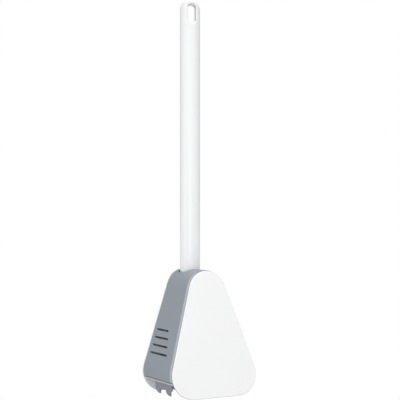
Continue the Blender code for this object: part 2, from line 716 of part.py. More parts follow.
def make_bristle_pad(name, face_depth, forward, material):
    """Skin divided into cells, each with a four-sided bristle that grows out of its middle and tapers.

    The cells lie between straight rows, and each row is as wide as the head there. A bristle leans out from
    the middle of the pad in step with its place, so that none crosses another.
    """
    rows, columns = BRISTLE_ROWS, BRISTLE_COLUMNS
    heights = np.linspace(BRISTLE_LOW, BRISTLE_HIGH, rows + 1)
    halves = np.array([half_at(head_outline(BRISTLE_MARGIN), z) for z in heights])
    x = halves[:, None] * np.linspace(-1.0, 1.0, columns + 1)[None, :]
    z = np.repeat(heights[:, None], columns + 1, axis=1)
    face = face_depth(z)

    def layer(lift):
        return np.stack([x, y_at(face + forward * lift), z], axis=-1)

    skin = layer(SEAM + SKIN_THICKNESS)
    under = layer(SEAM)
    corners = np.stack([skin[:-1, :-1], skin[:-1, 1:], skin[1:, 1:], skin[1:, :-1]], axis=2)
    middle = corners.mean(axis=2, keepdims=True)
    foot = middle + (corners - middle) * BRISTLE_SHARE
    lean = np.zeros_like(middle)
    lean[..., 0] = BRISTLE_SPLAY * middle[..., 0] / halves.max()
    lean[..., 1] = -forward * BRISTLE_LENGTH
    lean[..., 2] = BRISTLE_SPLAY * (middle[..., 2] - heights.mean()) / (heights[-1] - heights[0])
    tip = middle + (corners - middle) * BRISTLE_SHARE * BRISTLE_TAPER + lean
    grid = np.arange((rows + 1) * (columns + 1)).reshape(rows + 1, columns + 1)
    cell = np.stack([grid[:-1, :-1], grid[:-1, 1:], grid[1:, 1:], grid[1:, :-1]], axis=2).reshape(-1, 4)
    cells = rows * columns
    feet = grid.size + np.arange(cells * 4).reshape(-1, 4)
    tips = feet + cells * 4
    faces = [tuple(face) for face in tips.tolist()]
    for lower, upper in ((cell, feet), (feet, tips)):
        for i in range(4):
            j = (i + 1) % 4
            faces += np.stack([lower[:, i], lower[:, j], upper[:, j], upper[:, i]], axis=1).tolist()
    edge = np.concatenate([grid[0, :-1], grid[:-1, -1], grid[-1, :0:-1], grid[:0:-1, 0]])
    rim = grid.size + cells * 8 + np.arange(len(edge))
    faces.append(tuple(rim.tolist()))
    for i in range(len(edge)):
        j = (i + 1) % len(edge)
        faces.append((int(edge[i]), int(edge[j]), int(rim[j]), int(rim[i])))
    points = np.concatenate(
        [skin.reshape(-1, 3), foot.reshape(-1, 3), tip.reshape(-1, 3), under.reshape(-1, 3)[edge]]
    )
    return solid(name, points.tolist(), faces, material)


def skirt_path(inset):
    """Open path from the left side, round the foot, to the right side of the head, moved out by a negative inset."""
    outline = head_outline(inset)
    steps = ARC_STEPS + 1
    left, right = outline[-steps:], outline[:steps]
    top_x = half_at(outline, SKIRT_TOP)
    return [(-top_x, SKIRT_TOP), *left, *right, (top_x, SKIRT_TOP)]


def fin_rail_outline():
    """Level rail with fins below it. A fin's rear edge is a quarter of an ellipse, and its front edge is upright."""
    rise = FIN_ROOT_Z - FIN_TIP_Z
    rail_front = skirt_front(FIN_TOP_Z)
    first, last = HEAD_REAR_DEPTH + FIN_REAR_MARGIN, rail_front - FIN_FRONT_MARGIN
    points = [(first - FIN_LENGTH, FIN_TOP_Z)]
    for tip in np.linspace(first, last, FIN_COUNT):
        for turn in np.linspace(0.0, math.pi / 2, FILLET_STEPS + 2):
            points.append((tip - FIN_LENGTH * math.cos(turn), FIN_ROOT_Z - rise * math.sin(turn)))
        points += [
            (tip + FIN_TIP_WIDTH, FIN_TIP_Z),
            (tip + FIN_TIP_WIDTH, FIN_ROOT_Z - FIN_FLARE),
            (tip + FIN_TIP_WIDTH + FIN_FLARE, FIN_ROOT_Z),
        ]
    return [*points, (rail_front, FIN_ROOT_Z), (rail_front, FIN_TOP_Z)]


def make_rim_skirt(material):
    """Soft band round the foot of the head, with curved fins hanging from both ends."""
    outer, inner = skirt_path(-SEAM - SKIRT_THICKNESS), skirt_path(-SEAM)
    skirt = prism("rim_skirt", outer + inner[::-1], SKIRT_REAR, skirt_front, material, smooth=True)
    widest = half_at(head_outline(-SKIRT_THICKNESS), FIN_TOP_Z)
    for name, side in (("left", -1), ("right", 1)):
        ends = sorted((side * widest, side * (widest - FIN_THICKNESS)))
        join(skirt, bar_along_x(f"fins_{name}", fin_rail_outline(), *ends))
    return skirt


def hang_on(body, *pieces):
    """Parents pieces built in place, and the guides that shape them, to a body's empty."""
    for piece in pieces:
        piece.parent = body
        piece.location = -body.location
        hang_on(body, *(modifier.object for modifier in piece.modifiers))


def empty(name, location):
    obj = bpy.data.objects.new(name, None)
    obj.location = location
    bpy.context.scene.collection.objects.link(obj)
    return obj


def main():
    clear_scene()
    white = surface("white gloss plastic", (0.88, 0.88, 0.88), 0.32)
    grey = surface("blue grey plastic", (0.29, 0.32, 0.36), 0.55)
    soft = surface("soft grey rubber", (0.20, 0.22, 0.26), 0.75)
    foam = surface("dark foam tape", (0.05, 0.05, 0.05), 0.9)
    steel = surface("zinc plated steel", (0.62, 0.62, 0.60), 0.35, 1.0)
    holder = empty("holder", (0.0, 0.0, 0.0))
    brush = empty("brush", (0.0, y_at(HANDLE_DEPTH), COLLAR_LOW))
    hang_on(
        holder,
        make_back_plate(grey),
        make_outer_shell(grey),
        make_front_panel(white),
        make_hanger_fork(grey),
        *(make_screw(name, x, z, length, steel) for name, (x, z, length) in screw_places().items()),
        make_wall_pad("adhesive_pad_lower", LOWER_PAD_WIDTH, LOWER_PAD_HEIGHT, LOWER_PAD_Z, foam),
        make_wall_pad("adhesive_pad_upper", UPPER_PAD_WIDTH, UPPER_PAD_HEIGHT, UPPER_PAD_Z, foam),
    )
    hang_on(
        brush,
        make_handle_tube(white),
        make_hanging_cap(white),
        make_bent_neck(white),
        make_head_core(grey),
        make_neck_pin(steel),
        make_bristle_pad("front_bristle_pad", head_front, 1, soft),
        make_bristle_pad("rear_bristle_pad", head_rear, -1, soft),
        make_rim_skirt(soft),
    )


main()
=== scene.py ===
"""The looks of a toilet brush that hangs in a wedge-shaped wall holder.

Metres, +Z up, the front towards -Y. Depths are measured forward from the rear face of the back plate.
The holder is a rounded triangle in the XZ plane, and its front leans back towards the top.
"""

import json
import math

import bmesh
import bpy
import numpy as np
from mathutils import Matrix, Vector

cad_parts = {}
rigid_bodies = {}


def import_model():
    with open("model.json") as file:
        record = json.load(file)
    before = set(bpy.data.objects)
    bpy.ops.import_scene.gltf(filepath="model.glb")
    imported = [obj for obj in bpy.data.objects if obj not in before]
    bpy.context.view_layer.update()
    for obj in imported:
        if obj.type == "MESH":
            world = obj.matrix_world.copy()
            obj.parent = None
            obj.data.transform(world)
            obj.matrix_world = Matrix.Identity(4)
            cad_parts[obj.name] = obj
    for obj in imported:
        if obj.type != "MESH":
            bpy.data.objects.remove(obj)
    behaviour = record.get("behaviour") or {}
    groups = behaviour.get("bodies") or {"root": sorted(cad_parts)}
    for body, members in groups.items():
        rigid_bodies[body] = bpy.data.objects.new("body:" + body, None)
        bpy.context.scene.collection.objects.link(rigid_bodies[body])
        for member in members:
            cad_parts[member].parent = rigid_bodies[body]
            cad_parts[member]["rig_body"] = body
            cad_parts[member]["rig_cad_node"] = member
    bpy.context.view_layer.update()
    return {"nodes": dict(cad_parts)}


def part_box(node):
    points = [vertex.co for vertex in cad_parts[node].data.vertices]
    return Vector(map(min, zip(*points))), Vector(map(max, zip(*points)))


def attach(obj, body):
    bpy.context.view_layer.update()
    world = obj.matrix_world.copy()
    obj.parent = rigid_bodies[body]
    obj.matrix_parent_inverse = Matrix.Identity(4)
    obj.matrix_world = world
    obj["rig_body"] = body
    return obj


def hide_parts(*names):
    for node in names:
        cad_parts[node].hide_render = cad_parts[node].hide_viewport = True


# The photograph's camera: its turn to the left, and its place to the right, in front and above the foot
CAMERA_TURN = math.radians(29.06)
CAMERA_LENS = 103.44
CAMERA_SENSOR = 36.0
CAMERA_RIGHT = 0.01848
CAMERA_DISTANCE = 1.34435
EYE_HEIGHT = 0.21979

# Gaps between pieces
SEAM = 0.0003
FINE_SEAM = 0.00004
FAR = 0.2

# Holder
HALF_AT_FOOT = 0.0637
SIDE_LEAN = math.radians(18.1)
TOP_RADIUS = 0.0246
CORNER_RADIUS = 0.0248
FRONT_LEAN = math.radians(9.9)
SHELL_WALL = 0.0022
FRONT_WALL = 0.0020
FRONT_FLANGE = 0.0030
WAY_BELOW_TOP = 0.0283
HANDLE_CLEARANCE = 0.0008
WAY_LEFT_CLEARANCE = 0.0027
WAY_FRONT_POWER = 0.42
WAY_REAR_POWER = 1.25
LEFT_FULLNESS = 0.0008
LIP_DROP = 0.0009
LIP_HEIGHT = 0.0020
LIP_GROOVE = 0.0010
LIP_GROOVE_DEPTH = 0.0012
RIM_BEVEL = 0.0022
RIM_BAND = 0.0002
# Painted highlight on the shell's front rim: its band ends this far below the top, narrowing over the taper
RIM_HIGHLIGHT_BELOW_TOP = 0.0030
RIM_HIGHLIGHT_TAPER = 0.0140
# Panel faces whose normals point further down than this take the grey trim as painted shade
PAINTED_SHADE_DOWNWARD = 0.35
RIB_HEIGHT = 0.0030
RIB_THICKNESS = 0.0014
PANEL_THICKNESS = 0.0025
PANEL_INSET = 0.0007
PANEL_EDGE = 0.0008
PEG_RADIUS = 0.0020
PEG_TAIL = 0.0010
PEG_MARGIN = 0.0170
PEG_ABOVE_FOOT = 0.0278
PEG_BELOW_WAY = 0.0107
VENT_COUNT = 4
VENT_ABOVE_FOOT = 0.0300
VENT_PITCH = 0.0086
VENT_HEIGHT = 0.0023
VENT_REAR_MARGIN = 0.0062
VENT_FRONT_MARGIN = 0.0152
VENT_STEP_BACK = 0.0024
BOSS_RADIUS = 0.0031

# Screws
SCREW_HEAD_RADIUS = 0.0029
SCREW_HEAD_DEPTH = 0.0014
SCREW_RADIUS = 0.0014
SCREW_RECESS = 0.0010
THREAD_PITCH = 0.0011
THREAD_DEPTH = 0.0002
THREAD_STEPS = 8
SCREW_EDGE = 0.0001
SCREWS = ("shell_screw_lower", "shell_screw_upper", "fork_screw_left", "fork_screw_right")
# Steps of the recess from its middle outwards: shares of the shank's radius and of the recess's depth
RECESS_SHAPE = ((0.05, 1.0), (0.92, 1.0), (1.0, 0.1), (1.08, 0.0))

# Handle
HANDLE_WALL = 0.0016
CAP_LENGTH = 0.0316
CAP_SPIGOT = 0.0160
CAP_ROUND = 120
CAP_REACH = 22
HOLE_WIDTH = 0.0094
HOLE_HEIGHT = 0.0227
HOLE_TOP_WALL = 0.0036
HOLE_TO_RIGHT = 0.0012
HOLE_TURN = math.radians(24.0)
HOLE_FILLET = 0.0024
DOME_FILLET = 0.0014
DOME_LEAN = 0.0027
LINING_STEPS = 9
# The most that a rounded edge takes of the room beside it
FILLET_SHARE = 0.5

# Neck
NECK_RADIUS = 0.0065
STEM_RADIUS = 0.0060
COLLAR_THICKNESS = 0.0030
FORK_THICKNESS = 0.0040
BEND_START = 0.0018
BEND_HEIGHT = 0.0194

# Brush head
HEAD_TOP_RADIUS = 0.0120
HEAD_CORNER_RADIUS = 0.0090
SKIRT_CORNER_RADIUS = 0.0080
HEAD_HALF_AT_FOOT = 0.0509
HEAD_LOW = 0.0100
BRISTLE_ROWS = 22
BRISTLE_COLUMNS = 25
BRISTLE_STAGGER = 0.25
BRISTLE_MARGIN = 0.0030
BRISTLE_INSET = 0.0018
BRISTLE_REACH = 0.0090
BRISTLE_SINK = 0.0003
BRISTLE_FOOT = 0.00085
BRISTLE_TIP = 0.00045
BRISTLE_SPLAY = 0.0016
BRISTLE_SIDES = 6
# Steps along a bristle: share of its reach, and radius
BRISTLE_LEVELS = (
    (0.0, BRISTLE_FOOT * 1.35),
    (0.08, BRISTLE_FOOT),
    (0.55, (BRISTLE_FOOT + BRISTLE_TIP) / 2),
    (0.94, BRISTLE_TIP),
    (0.985, BRISTLE_TIP * 0.8),
    (1.0, BRISTLE_TIP * 0.35),
)
SKIN_THICKNESS = 0.0020
SKIN_EDGE = 0.0012
SKIRT_THICKNESS = 0.0027
FIN_TOP_Z = 0.0180
FIN_COUNT = 2
FIN_THICKNESS = 0.0014
FIN_REAR_MARGIN = 0.0082
FIN_FRONT_MARGIN = 0.0036
FIN_LENGTH = 0.0108
FIN_ROOT_Z = 0.0069
FIN_TIP_Z = 0.0013
FIN_TIP_WIDTH = 0.0006
FIN_FLARE = 0.0012

# Foam pads: the bulge is a share of the thickness
PAD_CORNER = 0.0040
PAD_BULGE = 0.12

# Small radii of edges
EDGE_FILLET = 0.0004
SHELL_FILLET = 0.00025
CORE_FILLET = 0.0005
PIN_FILLET = 0.0002

# Smoothness of the surfaces
ARC_STEPS = 36
EDGE_STEPS = 6
ROUND_SIDES = 96
SMOOTH_BELOW = math.radians(40)
FLAT_BELOW = math.radians(1)

# How near points lie that become one, the radius of a pole, and the least number to divide by
MERGE = 0.000001
PATCH_MERGE = 0.000002
POLE_RADIUS = 0.000001
TINY = 1e-9

# Tones
WHITE = (0.88, 0.885, 0.89)
GREY = (0.267, 0.297, 0.334)
# Light grey trim: the lip's and the panel side's own tone, also used as a painted highlight on the shell's
# rim and as painted shade under the panel
TRIM_GREY_AND_PAINTED_LIGHT = (0.43, 0.453, 0.476)
PLATE_GREY = (0.79, 0.8, 0.81)
RUBBER_GREY = (0.27, 0.295, 0.335)
FOAM = (0.045, 0.045, 0.05)
# Painted shade at the middle of each foam cell, and the tone of the cell walls
FOAM_PIT_SHADE = (0.03, 0.03, 0.033)
FOAM_WALL = (0.085, 0.085, 0.09)
ZINC = (0.62, 0.62, 0.60)

# The middle of a noise's range
NOISE_LOW, NOISE_HIGH = 0.3, 0.7

# Studio
AMBIENT = 0.35
LIGHT = (1.0, 1.0, 1.0, 1.0)
FLOOR_TONE = (0.3, 0.3, 0.3)
FLOOR_GLOW = 0.55
FLOOR_HALF = 6.0
SOFTBOX_AIM = Vector((0.0, 0.0, 0.2))
# Softboxes: turn from the front towards the right, height angle, distance, side and power
SOFTBOXES = {
    "rear_left_softbox": (-100.0, 12.0, 1.6, 0.55, 0.9),
    "left_softbox": (-89.0, 3.0, 1.6, 0.7, 1.8),
    "side_softbox": (-55.0, 12.0, 1.6, 0.55, 2.5),
    "camera_softbox": (-26.0, 4.0, 1.6, 0.6, 3.1),
    "front_softbox": (-5.0, 12.0, 1.6, 0.6, 1.55),
    "right_softbox": (24.0, 12.0, 1.6, 0.55, 1.15),
    "top_softbox": (0.0, 88.0, 2.2, 1.6, 50.0),
}

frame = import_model()

# Holder, read from the CAD
WALL_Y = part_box("back_plate")[1].y
DEPTH_AT_FOOT = WALL_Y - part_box("front_panel")[0].y + math.tan(FRONT_LEAN) * PANEL_EDGE
PLATE_THICKNESS = WALL_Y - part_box("back_plate")[0].y - RIB_HEIGHT
SHELL_REAR = WALL_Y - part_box("outer_shell")[1].y
SHELL_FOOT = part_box("outer_shell")[0].z - LIP_DROP
HOLDER_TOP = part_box("outer_shell")[1].z
WAY_TOP = HOLDER_TOP - WAY_BELOW_TOP

# Brush, read from the CAD
TUBE_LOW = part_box("handle_tube")[0].z
HANDLE_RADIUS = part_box("handle_tube")[1].x
HANDLE_Y = (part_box("handle_tube")[0].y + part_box("handle_tube")[1].y) / 2
HANDLE_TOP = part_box("hanging_cap")[1].z
BORE_RADIUS = HANDLE_RADIUS - HANDLE_WALL
STEM_Y = sum(corner.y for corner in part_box("neck_pin")) / 2
HEAD_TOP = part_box("head_core")[1].z
HEAD_REAR = WALL_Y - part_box("head_core")[1].y
HEAD_FRONT_AT_FOOT = WALL_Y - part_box("head_core")[0].y
BRISTLE_LOW, BRISTLE_HIGH = (corner.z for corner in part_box("front_bristle_pad"))
SKIRT_REAR = WALL_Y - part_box("rim_skirt")[1].y
SKIRT_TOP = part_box("rim_skirt")[1].z


# Depths


def y_at(depth):
    """Y of a depth, measured forward from the rear face of the back plate."""
    return WALL_Y - depth


def panel_front(z):
    """Depth of the panel's front, which leans back with the height."""
    return DEPTH_AT_FOOT - math.tan(FRONT_LEAN) * z


def panel_back(z):
    """Depth of the panel's back."""
    return panel_front(z) - PANEL_THICKNESS


def shell_front(z):
    """Depth of the shell's front wall, a seam behind the panel."""
    return panel_back(z) - SEAM


def shell_inside(z):
    """Depth of the inner face of the shell's front wall."""
    return shell_front(z) - FRONT_WALL


def flange_inside(z):
    """Depth of the rear edge of the flange that is left along the open right side."""
    return shell_inside(z) - FRONT_FLANGE


def head_front(z):
    """Depth of the head's leaning front, which runs parallel to the panel."""
    return HEAD_FRONT_AT_FOOT - math.tan(FRONT_LEAN) * (z - HEAD_LOW)


def head_rear(z):
    """Depth of the head's upright back."""
    return HEAD_REAR + 0.0 * z


def skirt_front(z):
    """Depth of the skirt's front edge, level with the skin of the front pad."""
    return head_front(z) + SEAM + SKIN_THICKNESS


# Outlines, as arrays of points in a plane


def together(*parts):
    """Points from arrays or numbers of their coordinates, each repeated to the same shape."""
    return np.stack(np.broadcast_arrays(*parts), axis=-1)


def arc(x, z, radius, start, end, steps=ARC_STEPS):
    """Points of a circle's arc: centre plus radius times the cosine and sine of equal turns."""
    turn = np.linspace(start, end, steps + 1)
    return together(x + radius * np.cos(turn), z + radius * np.sin(turn))


def rounded_triangle(half, lean, top_radius, corner_radius, low=0.0, inset=0.0):
    """Three arcs joined by sides that lean in towards the top, anticlockwise from the right corner."""
    corner_z = low + corner_radius
    corner_x = half - math.tan(lean) * corner_z - corner_radius / math.cos(lean)
    top_z = (half * math.cos(lean) - top_radius) / math.sin(lean)
    return np.concatenate(
        [
            arc(corner_x, corner_z, corner_radius - inset, -math.pi / 2, lean),
            arc(0.0, top_z, top_radius - inset, lean, math.pi - lean),
            arc(-corner_x, corner_z, corner_radius - inset, math.pi - lean, 1.5 * math.pi),
        ]
    )


def half_at(outline, height):
    """Half width of an outline at a height, read between the points of its right side."""
    right = outline[outline[:, 0] > -SEAM]
    order = np.argsort(right[:, 1])
    return np.interp(height, right[order, 1], right[order, 0])


def holder_outline(inset=0.0):
    """The rounded triangle, fuller on the arch's left shoulder by the squared sine of the way along it."""
    outline = rounded_triangle(HALF_AT_FOOT, SIDE_LEAN, TOP_RADIUS, CORNER_RADIUS, inset=inset)
    centre_z = (HALF_AT_FOOT * math.cos(SIDE_LEAN) - TOP_RADIUS) / math.sin(SIDE_LEAN)
    turn = np.arctan2(outline[:, 0], outline[:, 1] - centre_z)
    share = np.clip(-turn / (math.pi / 2 - SIDE_LEAN), 0.0, 1.0)
    out = LEFT_FULLNESS * np.sin(math.pi * share) ** 2
    return outline + out[:, None] * together(np.sin(turn), np.cos(turn))


def panel_outline(inset=0.0):
    """The rounded triangle of the panel, a little inside the holder's."""
    half = HALF_AT_FOOT - PANEL_INSET / math.cos(SIDE_LEAN)
    return rounded_triangle(half, SIDE_LEAN, TOP_RADIUS - PANEL_INSET, CORNER_RADIUS, inset=inset)


def head_outline(inset=0.0, corner_radius=HEAD_CORNER_RADIUS):
    """The head's rounded triangle: its sides run from the half width at the foot to the arc of its top."""
    centre_z = HEAD_TOP - HEAD_TOP_RADIUS
    lean = math.acos(HEAD_TOP_RADIUS / math.hypot(HEAD_HALF_AT_FOOT, centre_z))
    lean -= math.atan2(centre_z, HEAD_HALF_AT_FOOT)
    return rounded_triangle(HEAD_HALF_AT_FOOT, lean, HEAD_TOP_RADIUS, corner_radius, HEAD_LOW, inset)


def box_outline(low_a, high_a, low_b, high_b):
    """A rectangle's four corners."""
    return np.array([(low_a, low_b), (high_a, low_b), (high_a, high_b), (low_a, high_b)])


def round_box_outline(width, height, radius, centre, steps=EDGE_STEPS):
    """A rectangle whose four corners are quarter circles, or a slot where the radius is half its height."""
    across, up = width / 2 - radius, height / 2 - radius
    corners = ((across, -up, -1), (across, up, 0), (-across, up, 1), (-across, -up, 2))
    quarters = [
        arc(centre[0] + x, centre[1] + z, radius, k * math.pi / 2, (k + 1) * math.pi / 2, steps)
        for x, z, k in corners
    ]
    return np.concatenate(quarters)


# Meshes


def link_mesh(name, points, faces):
    """A new object in the scene with a mesh of these points and faces."""
    mesh = bpy.data.meshes.new(name)
    mesh.from_pydata(points.tolist(), [], faces)
    obj = bpy.data.objects.new(name, mesh)
    bpy.context.scene.collection.objects.link(obj)
    return obj


def ring_faces(levels, count, first=0):
    """Squares between each ring of points and the next, as an array of four point numbers each."""
    here = first + np.arange(levels * count).reshape(levels, count)
    beside = np.roll(here, -1, axis=1)
    return np.stack([here[:-1], beside[:-1], beside[1:], here[1:]], axis=-1).reshape(-1, 4)


def turn_outwards(obj, merge=MERGE):
    """Merges points that lie together, drops faces without area and stray edges, and turns faces outwards."""
    work = bmesh.new()
    work.from_mesh(obj.data)
    bmesh.ops.remove_doubles(work, verts=work.verts, dist=merge)
    bmesh.ops.dissolve_degenerate(work, edges=work.edges, dist=merge)
    bmesh.ops.delete(work, geom=[edge for edge in work.edges if not edge.link_faces], context="EDGES")
    bmesh.ops.recalc_face_normals(work, faces=work.faces)
    work.to_mesh(obj.data)
    work.free()
    return obj


def loft(name, rings, capped=True, closed=False):
    """A surface through rings of as many points each, with flat ends, or closed onto its first ring."""
    rings = np.asarray(rings)
    if closed:
        rings = np.concatenate([rings, rings[:1]])
    levels, count = rings.shape[:2]
    faces = ring_faces(levels, count).tolist()
    if capped and not closed:
        faces += [list(range(count)), list(range((levels - 1) * count, levels * count))]
    return turn_outwards(link_mesh(name, rings.reshape(-1, 3), faces))


def in_depth(outline, depth):
    """An outline of the XZ plane put at a depth, which may be a function of height."""
    x, z = outline[:, 0], outline[:, 1]
    return together(x, y_at(depth(z) if callable(depth) else depth), z)


def prism(name, outline, near, far):
    """An outline of the XZ plane carried straight from one depth to another."""
    return loft(name, [in_depth(outline, near), in_depth(outline, far)])


def bar_along_x(name, outline, low_x, high_x):
    """An outline of depths and heights carried straight along X."""
    depth, z = outline[:, 0], outline[:, 1]
    return loft(name, [together(x, y_at(depth), z) for x in (low_x, high_x)])


def slab(name, outline, low_z, high_z):
    """An outline of X and depth carried straight upwards."""
    x, depth = outline[:, 0], outline[:, 1]
    return loft(name, [together(x, y_at(depth), z) for z in (low_z, high_z)])


def turned(name, profile, centre, axis="Z", sides=ROUND_SIDES, closed=False):
    """A profile of radius and distance turned round an axis along Z or Y: each point becomes a circle."""
    profile = np.asarray(profile, float)
    turn = np.arange(sides) * 2 * math.pi / sides
    x = centre[0] + profile[:, :1] * np.cos(turn)
    other = centre[1] + profile[:, :1] * np.sin(turn)
    along = profile[:, 1:]
    rings = together(x, other, along) if axis == "Z" else together(x, along, other)
    return loft(name, rings, capped=False, closed=closed)


def rod(name, radius, low, high, centre):
    """A round rod along Y with flat ends."""
    profile = [(0, low), (radius, low), (radius, high), (0, high)]
    return turned(name, profile, centre, "Y", ROUND_SIDES // 2)


def settle(obj):
    """Puts the mesh that the modifiers give in place of the object's own."""
    graph = bpy.context.evaluated_depsgraph_get()
    mesh = bpy.data.meshes.new_from_object(obj.evaluated_get(graph), depsgraph=graph)
    obj.modifiers.clear()
    obj.data = mesh
    return obj


def combine(obj, tools, operation):
    """Cuts or joins with each tool in turn, tidies the mesh after each one, and removes the tool."""
    for tool in tools:
        modifier = obj.modifiers.new(tool.name, "BOOLEAN")
        modifier.operation = operation
        modifier.solver = "EXACT"
        modifier.object = tool
        settle(obj)
        turn_outwards(obj)
        bpy.data.objects.remove(tool, do_unlink=True)
    return obj


def cut(obj, *tools):
    """Takes each tool out of the piece."""
    return combine(obj, tools, "DIFFERENCE")


def join(obj, *tools):
    """Joins each tool to the piece."""
    return combine(obj, tools, "UNION")


def soften(obj, width=EDGE_FILLET, segments=3):
    """Rounds the edges by a small width, and keeps the flat faces' normals straight."""
    turn_outwards(obj)
    bevel = obj.modifiers.new("soft_edges", "BEVEL")
    bevel.width = width
    bevel.segments = segments
    bevel.limit_method = "ANGLE"
    bevel.angle_limit = SMOOTH_BELOW
    bevel.miter_outer = "MITER_ARC"
    settle(obj)
    return shade(obj)


def shade(obj):
    """Smooth shading up to the angle of a real edge, with normals weighted by the faces' areas."""
    obj.data.shade_smooth()
    obj.data.set_sharp_from_angle(angle=SMOOTH_BELOW)
    weighted = obj.modifiers.new("even_normals", "WEIGHTED_NORMAL")
    weighted.keep_sharp = True
    return settle(obj)


def softened_copy(node, width=EDGE_FILLET):
    """A CAD node's own shape, merged into flat faces, with its edges rounded."""
    obj = frame["nodes"][node].copy()
    obj.data = obj.data.copy()
    obj.parent = None
    obj.name = node + "_dressed"
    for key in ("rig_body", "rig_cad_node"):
        if key in obj:
            del obj[key]
    bpy.context.scene.collection.objects.link(obj)
    work = bmesh.new()
    work.from_mesh(obj.data)
    bmesh.ops.remove_doubles(work, verts=work.verts, dist=MERGE)
    bmesh.ops.dissolve_limit(work, angle_limit=FLAT_BELOW, verts=work.verts, edges=work.edges)
    work.to_mesh(obj.data)
    work.free()
    return soften(obj, width, segments=2)


def face_centres(obj):
    """Middle of each face, with its normal."""
    count = len(obj.data.polygons)
    centres, normals = np.empty(3 * count), np.empty(3 * count)
    obj.data.polygons.foreach_get("center", centres)
    obj.data.polygons.foreach_get("normal", normals)
    return centres.reshape(-1, 3), normals.reshape(-1, 3)


def dress(obj, body, finish, slot, *nodes, trim=None, on_trim=None):
    """Gives a finished piece its material and the body it moves with, and hides the CAD nodes that it stands
    for.

    A second material, the trim, goes on the faces that the mask on_trim picks.
    """
    obj.data.materials.clear()
    obj.data.materials.append(finish)
    if trim:
        obj.data.materials.append(trim)
        obj.data.polygons.foreach_set("material_index", on_trim(*face_centres(obj)).astype(np.int32))
    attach(obj, body)
    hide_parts(*nodes)
    return obj


# Finishes


def shades(tone, change):
    """Two tones, a share darker and a share lighter than the given one."""
    return tuple(c * (1 - change) for c in tone), tuple(min(c * (1 + change), 1.0) for c in tone)


class Finish:
    """A material in the making: a Principled shader and the nodes that feed it from Object coordinates."""

    def __init__(self, name, tone, roughness, **sockets):
        """Sets the shader's own sockets, whose names have _ for a space here."""
        self.material = bpy.data.materials.new(name)
        self.material.use_nodes = True
        self.tree = self.material.node_tree
        self.shader = self.tree.nodes["Principled BSDF"]
        self.shader.inputs["Base Color"].default_value = (*tone, 1.0)
        self.shader.inputs["Roughness"].default_value = roughness
        for socket, value in sockets.items():
            self.shader.inputs[socket.replace("_", " ")].default_value = value
        self.place = self.tree.nodes.new("ShaderNodeTexCoord").outputs["Object"]
        self.tone = tone
        self.normal = None

    def node(self, kind, **inputs):
        """A new node with its inputs set, whose names have _ for a space here."""
        made = self.tree.nodes.new(kind)
        for name, value in inputs.items():
            made.inputs[name.replace("_", " ")].default_value = value
        return made

    def link(self, output, socket):
        """Joins one node's output to another's input."""
        self.tree.links.new(output, socket)

    def noise(self, scale, detail=2.0, roughness=0.5, stretch=None):
        """Noise of a scale per metre, drawn out along an axis where a stretch is given."""
        noise = self.node("ShaderNodeTexNoise", Scale=scale, Detail=detail, Roughness=roughness)
        source = self.place
        if stretch:
            mapping = self.node("ShaderNodeMapping", Scale=stretch)
            self.link(source, mapping.inputs["Vector"])
            source = mapping.outputs["Vector"]
        self.link(source, noise.inputs["Vector"])
        return noise.outputs["Fac"]

    def cells(self, scale):
        """Distance from the middles of cells of a scale per metre."""
        cells = self.node("ShaderNodeTexVoronoi", Scale=scale)
        self.link(self.place, cells.inputs["Vector"])
        return cells.outputs["Distance"]

    def spread(self, value, low, high):
        """Maps the middle of a noise's range to the range from low to high."""
        ranged = self.node(
            "ShaderNodeMapRange", From_Min=NOISE_LOW, From_Max=NOISE_HIGH, To_Min=low, To_Max=high
        )
        self.link(value, ranged.inputs["Value"])
        return ranged.outputs["Result"]

    def tint(self, value, one, other):
        """Takes the surface from one tone to another as the value goes from 0 to 1."""
        ramp = self.node("ShaderNodeValToRGB")
        ramp.color_ramp.elements[0].color = (*one, 1.0)
        ramp.color_ramp.elements[1].color = (*other, 1.0)
        self.link(value, ramp.inputs["Fac"])
        self.link(ramp.outputs["Color"], self.shader.inputs["Base Color"])

    def mottle(self, change, **noise):
        """Lets the tone wander with a noise, by a share darker and lighter."""
        self.tint(self.spread(self.noise(**noise), 0.0, 1.0), *shades(self.tone, change))

    def gloss(self, low, high, **noise):
        """Lets the roughness wander with a noise, from low to high."""
        self.link(self.spread(self.noise(**noise), low, high), self.shader.inputs["Roughness"])

    def relief(self, height, distance):
        """Adds a relief of a real height in metres to the ones before it."""
        bump = self.node("ShaderNodeBump", Strength=1.0, Distance=distance)
        self.link(height, bump.inputs["Height"])
        if self.normal:
            self.link(self.normal, bump.inputs["Normal"])
        self.normal = bump.outputs["Normal"]
        self.link(self.normal, self.shader.inputs["Normal"])


def satin_white():
    """Smooth white moulding: a slow change of tone, a faint flow of the melt and a very fine skin."""
    finish = Finish("satin white plastic", WHITE, roughness=0.3, IOR=1.46)
    finish.mottle(0.006, scale=14.0)
    finish.gloss(0.18, 0.25, scale=160.0, detail=4.0, roughness=0.6, stretch=(1.0, 1.0, 0.3))
    finish.relief(finish.noise(scale=45.0, detail=1.0), distance=0.00002)
    finish.relief(finish.noise(scale=2600.0), distance=0.000003)
    return finish.material


def blue_grey():
    """Matt moulding with a spark-eroded grain: fine pits of two sizes, mottled in tone and gloss."""
    finish = Finish("blue grey matt plastic", GREY, roughness=0.55, IOR=1.47)
    finish.mottle(0.025, scale=420.0, detail=3.0, roughness=0.6)
    finish.gloss(0.48, 0.62, scale=900.0, detail=3.0)
    finish.relief(finish.noise(scale=1500.0, detail=3.0, roughness=0.6), distance=0.00002)
    finish.relief(finish.cells(scale=2400.0), distance=0.000008)
    return finish.material


def light_grey(name, tone):
    """The same moulding in a lighter tone, with pits of one size."""
    finish = Finish(name, tone, roughness=0.5, IOR=1.47)
    finish.mottle(0.02, scale=380.0, detail=3.0, roughness=0.6)
    finish.gloss(0.44, 0.58, scale=850.0, detail=3.0)
    finish.relief(finish.noise(scale=1400.0, detail=3.0, roughness=0.6), distance=0.000016)
    return finish.material


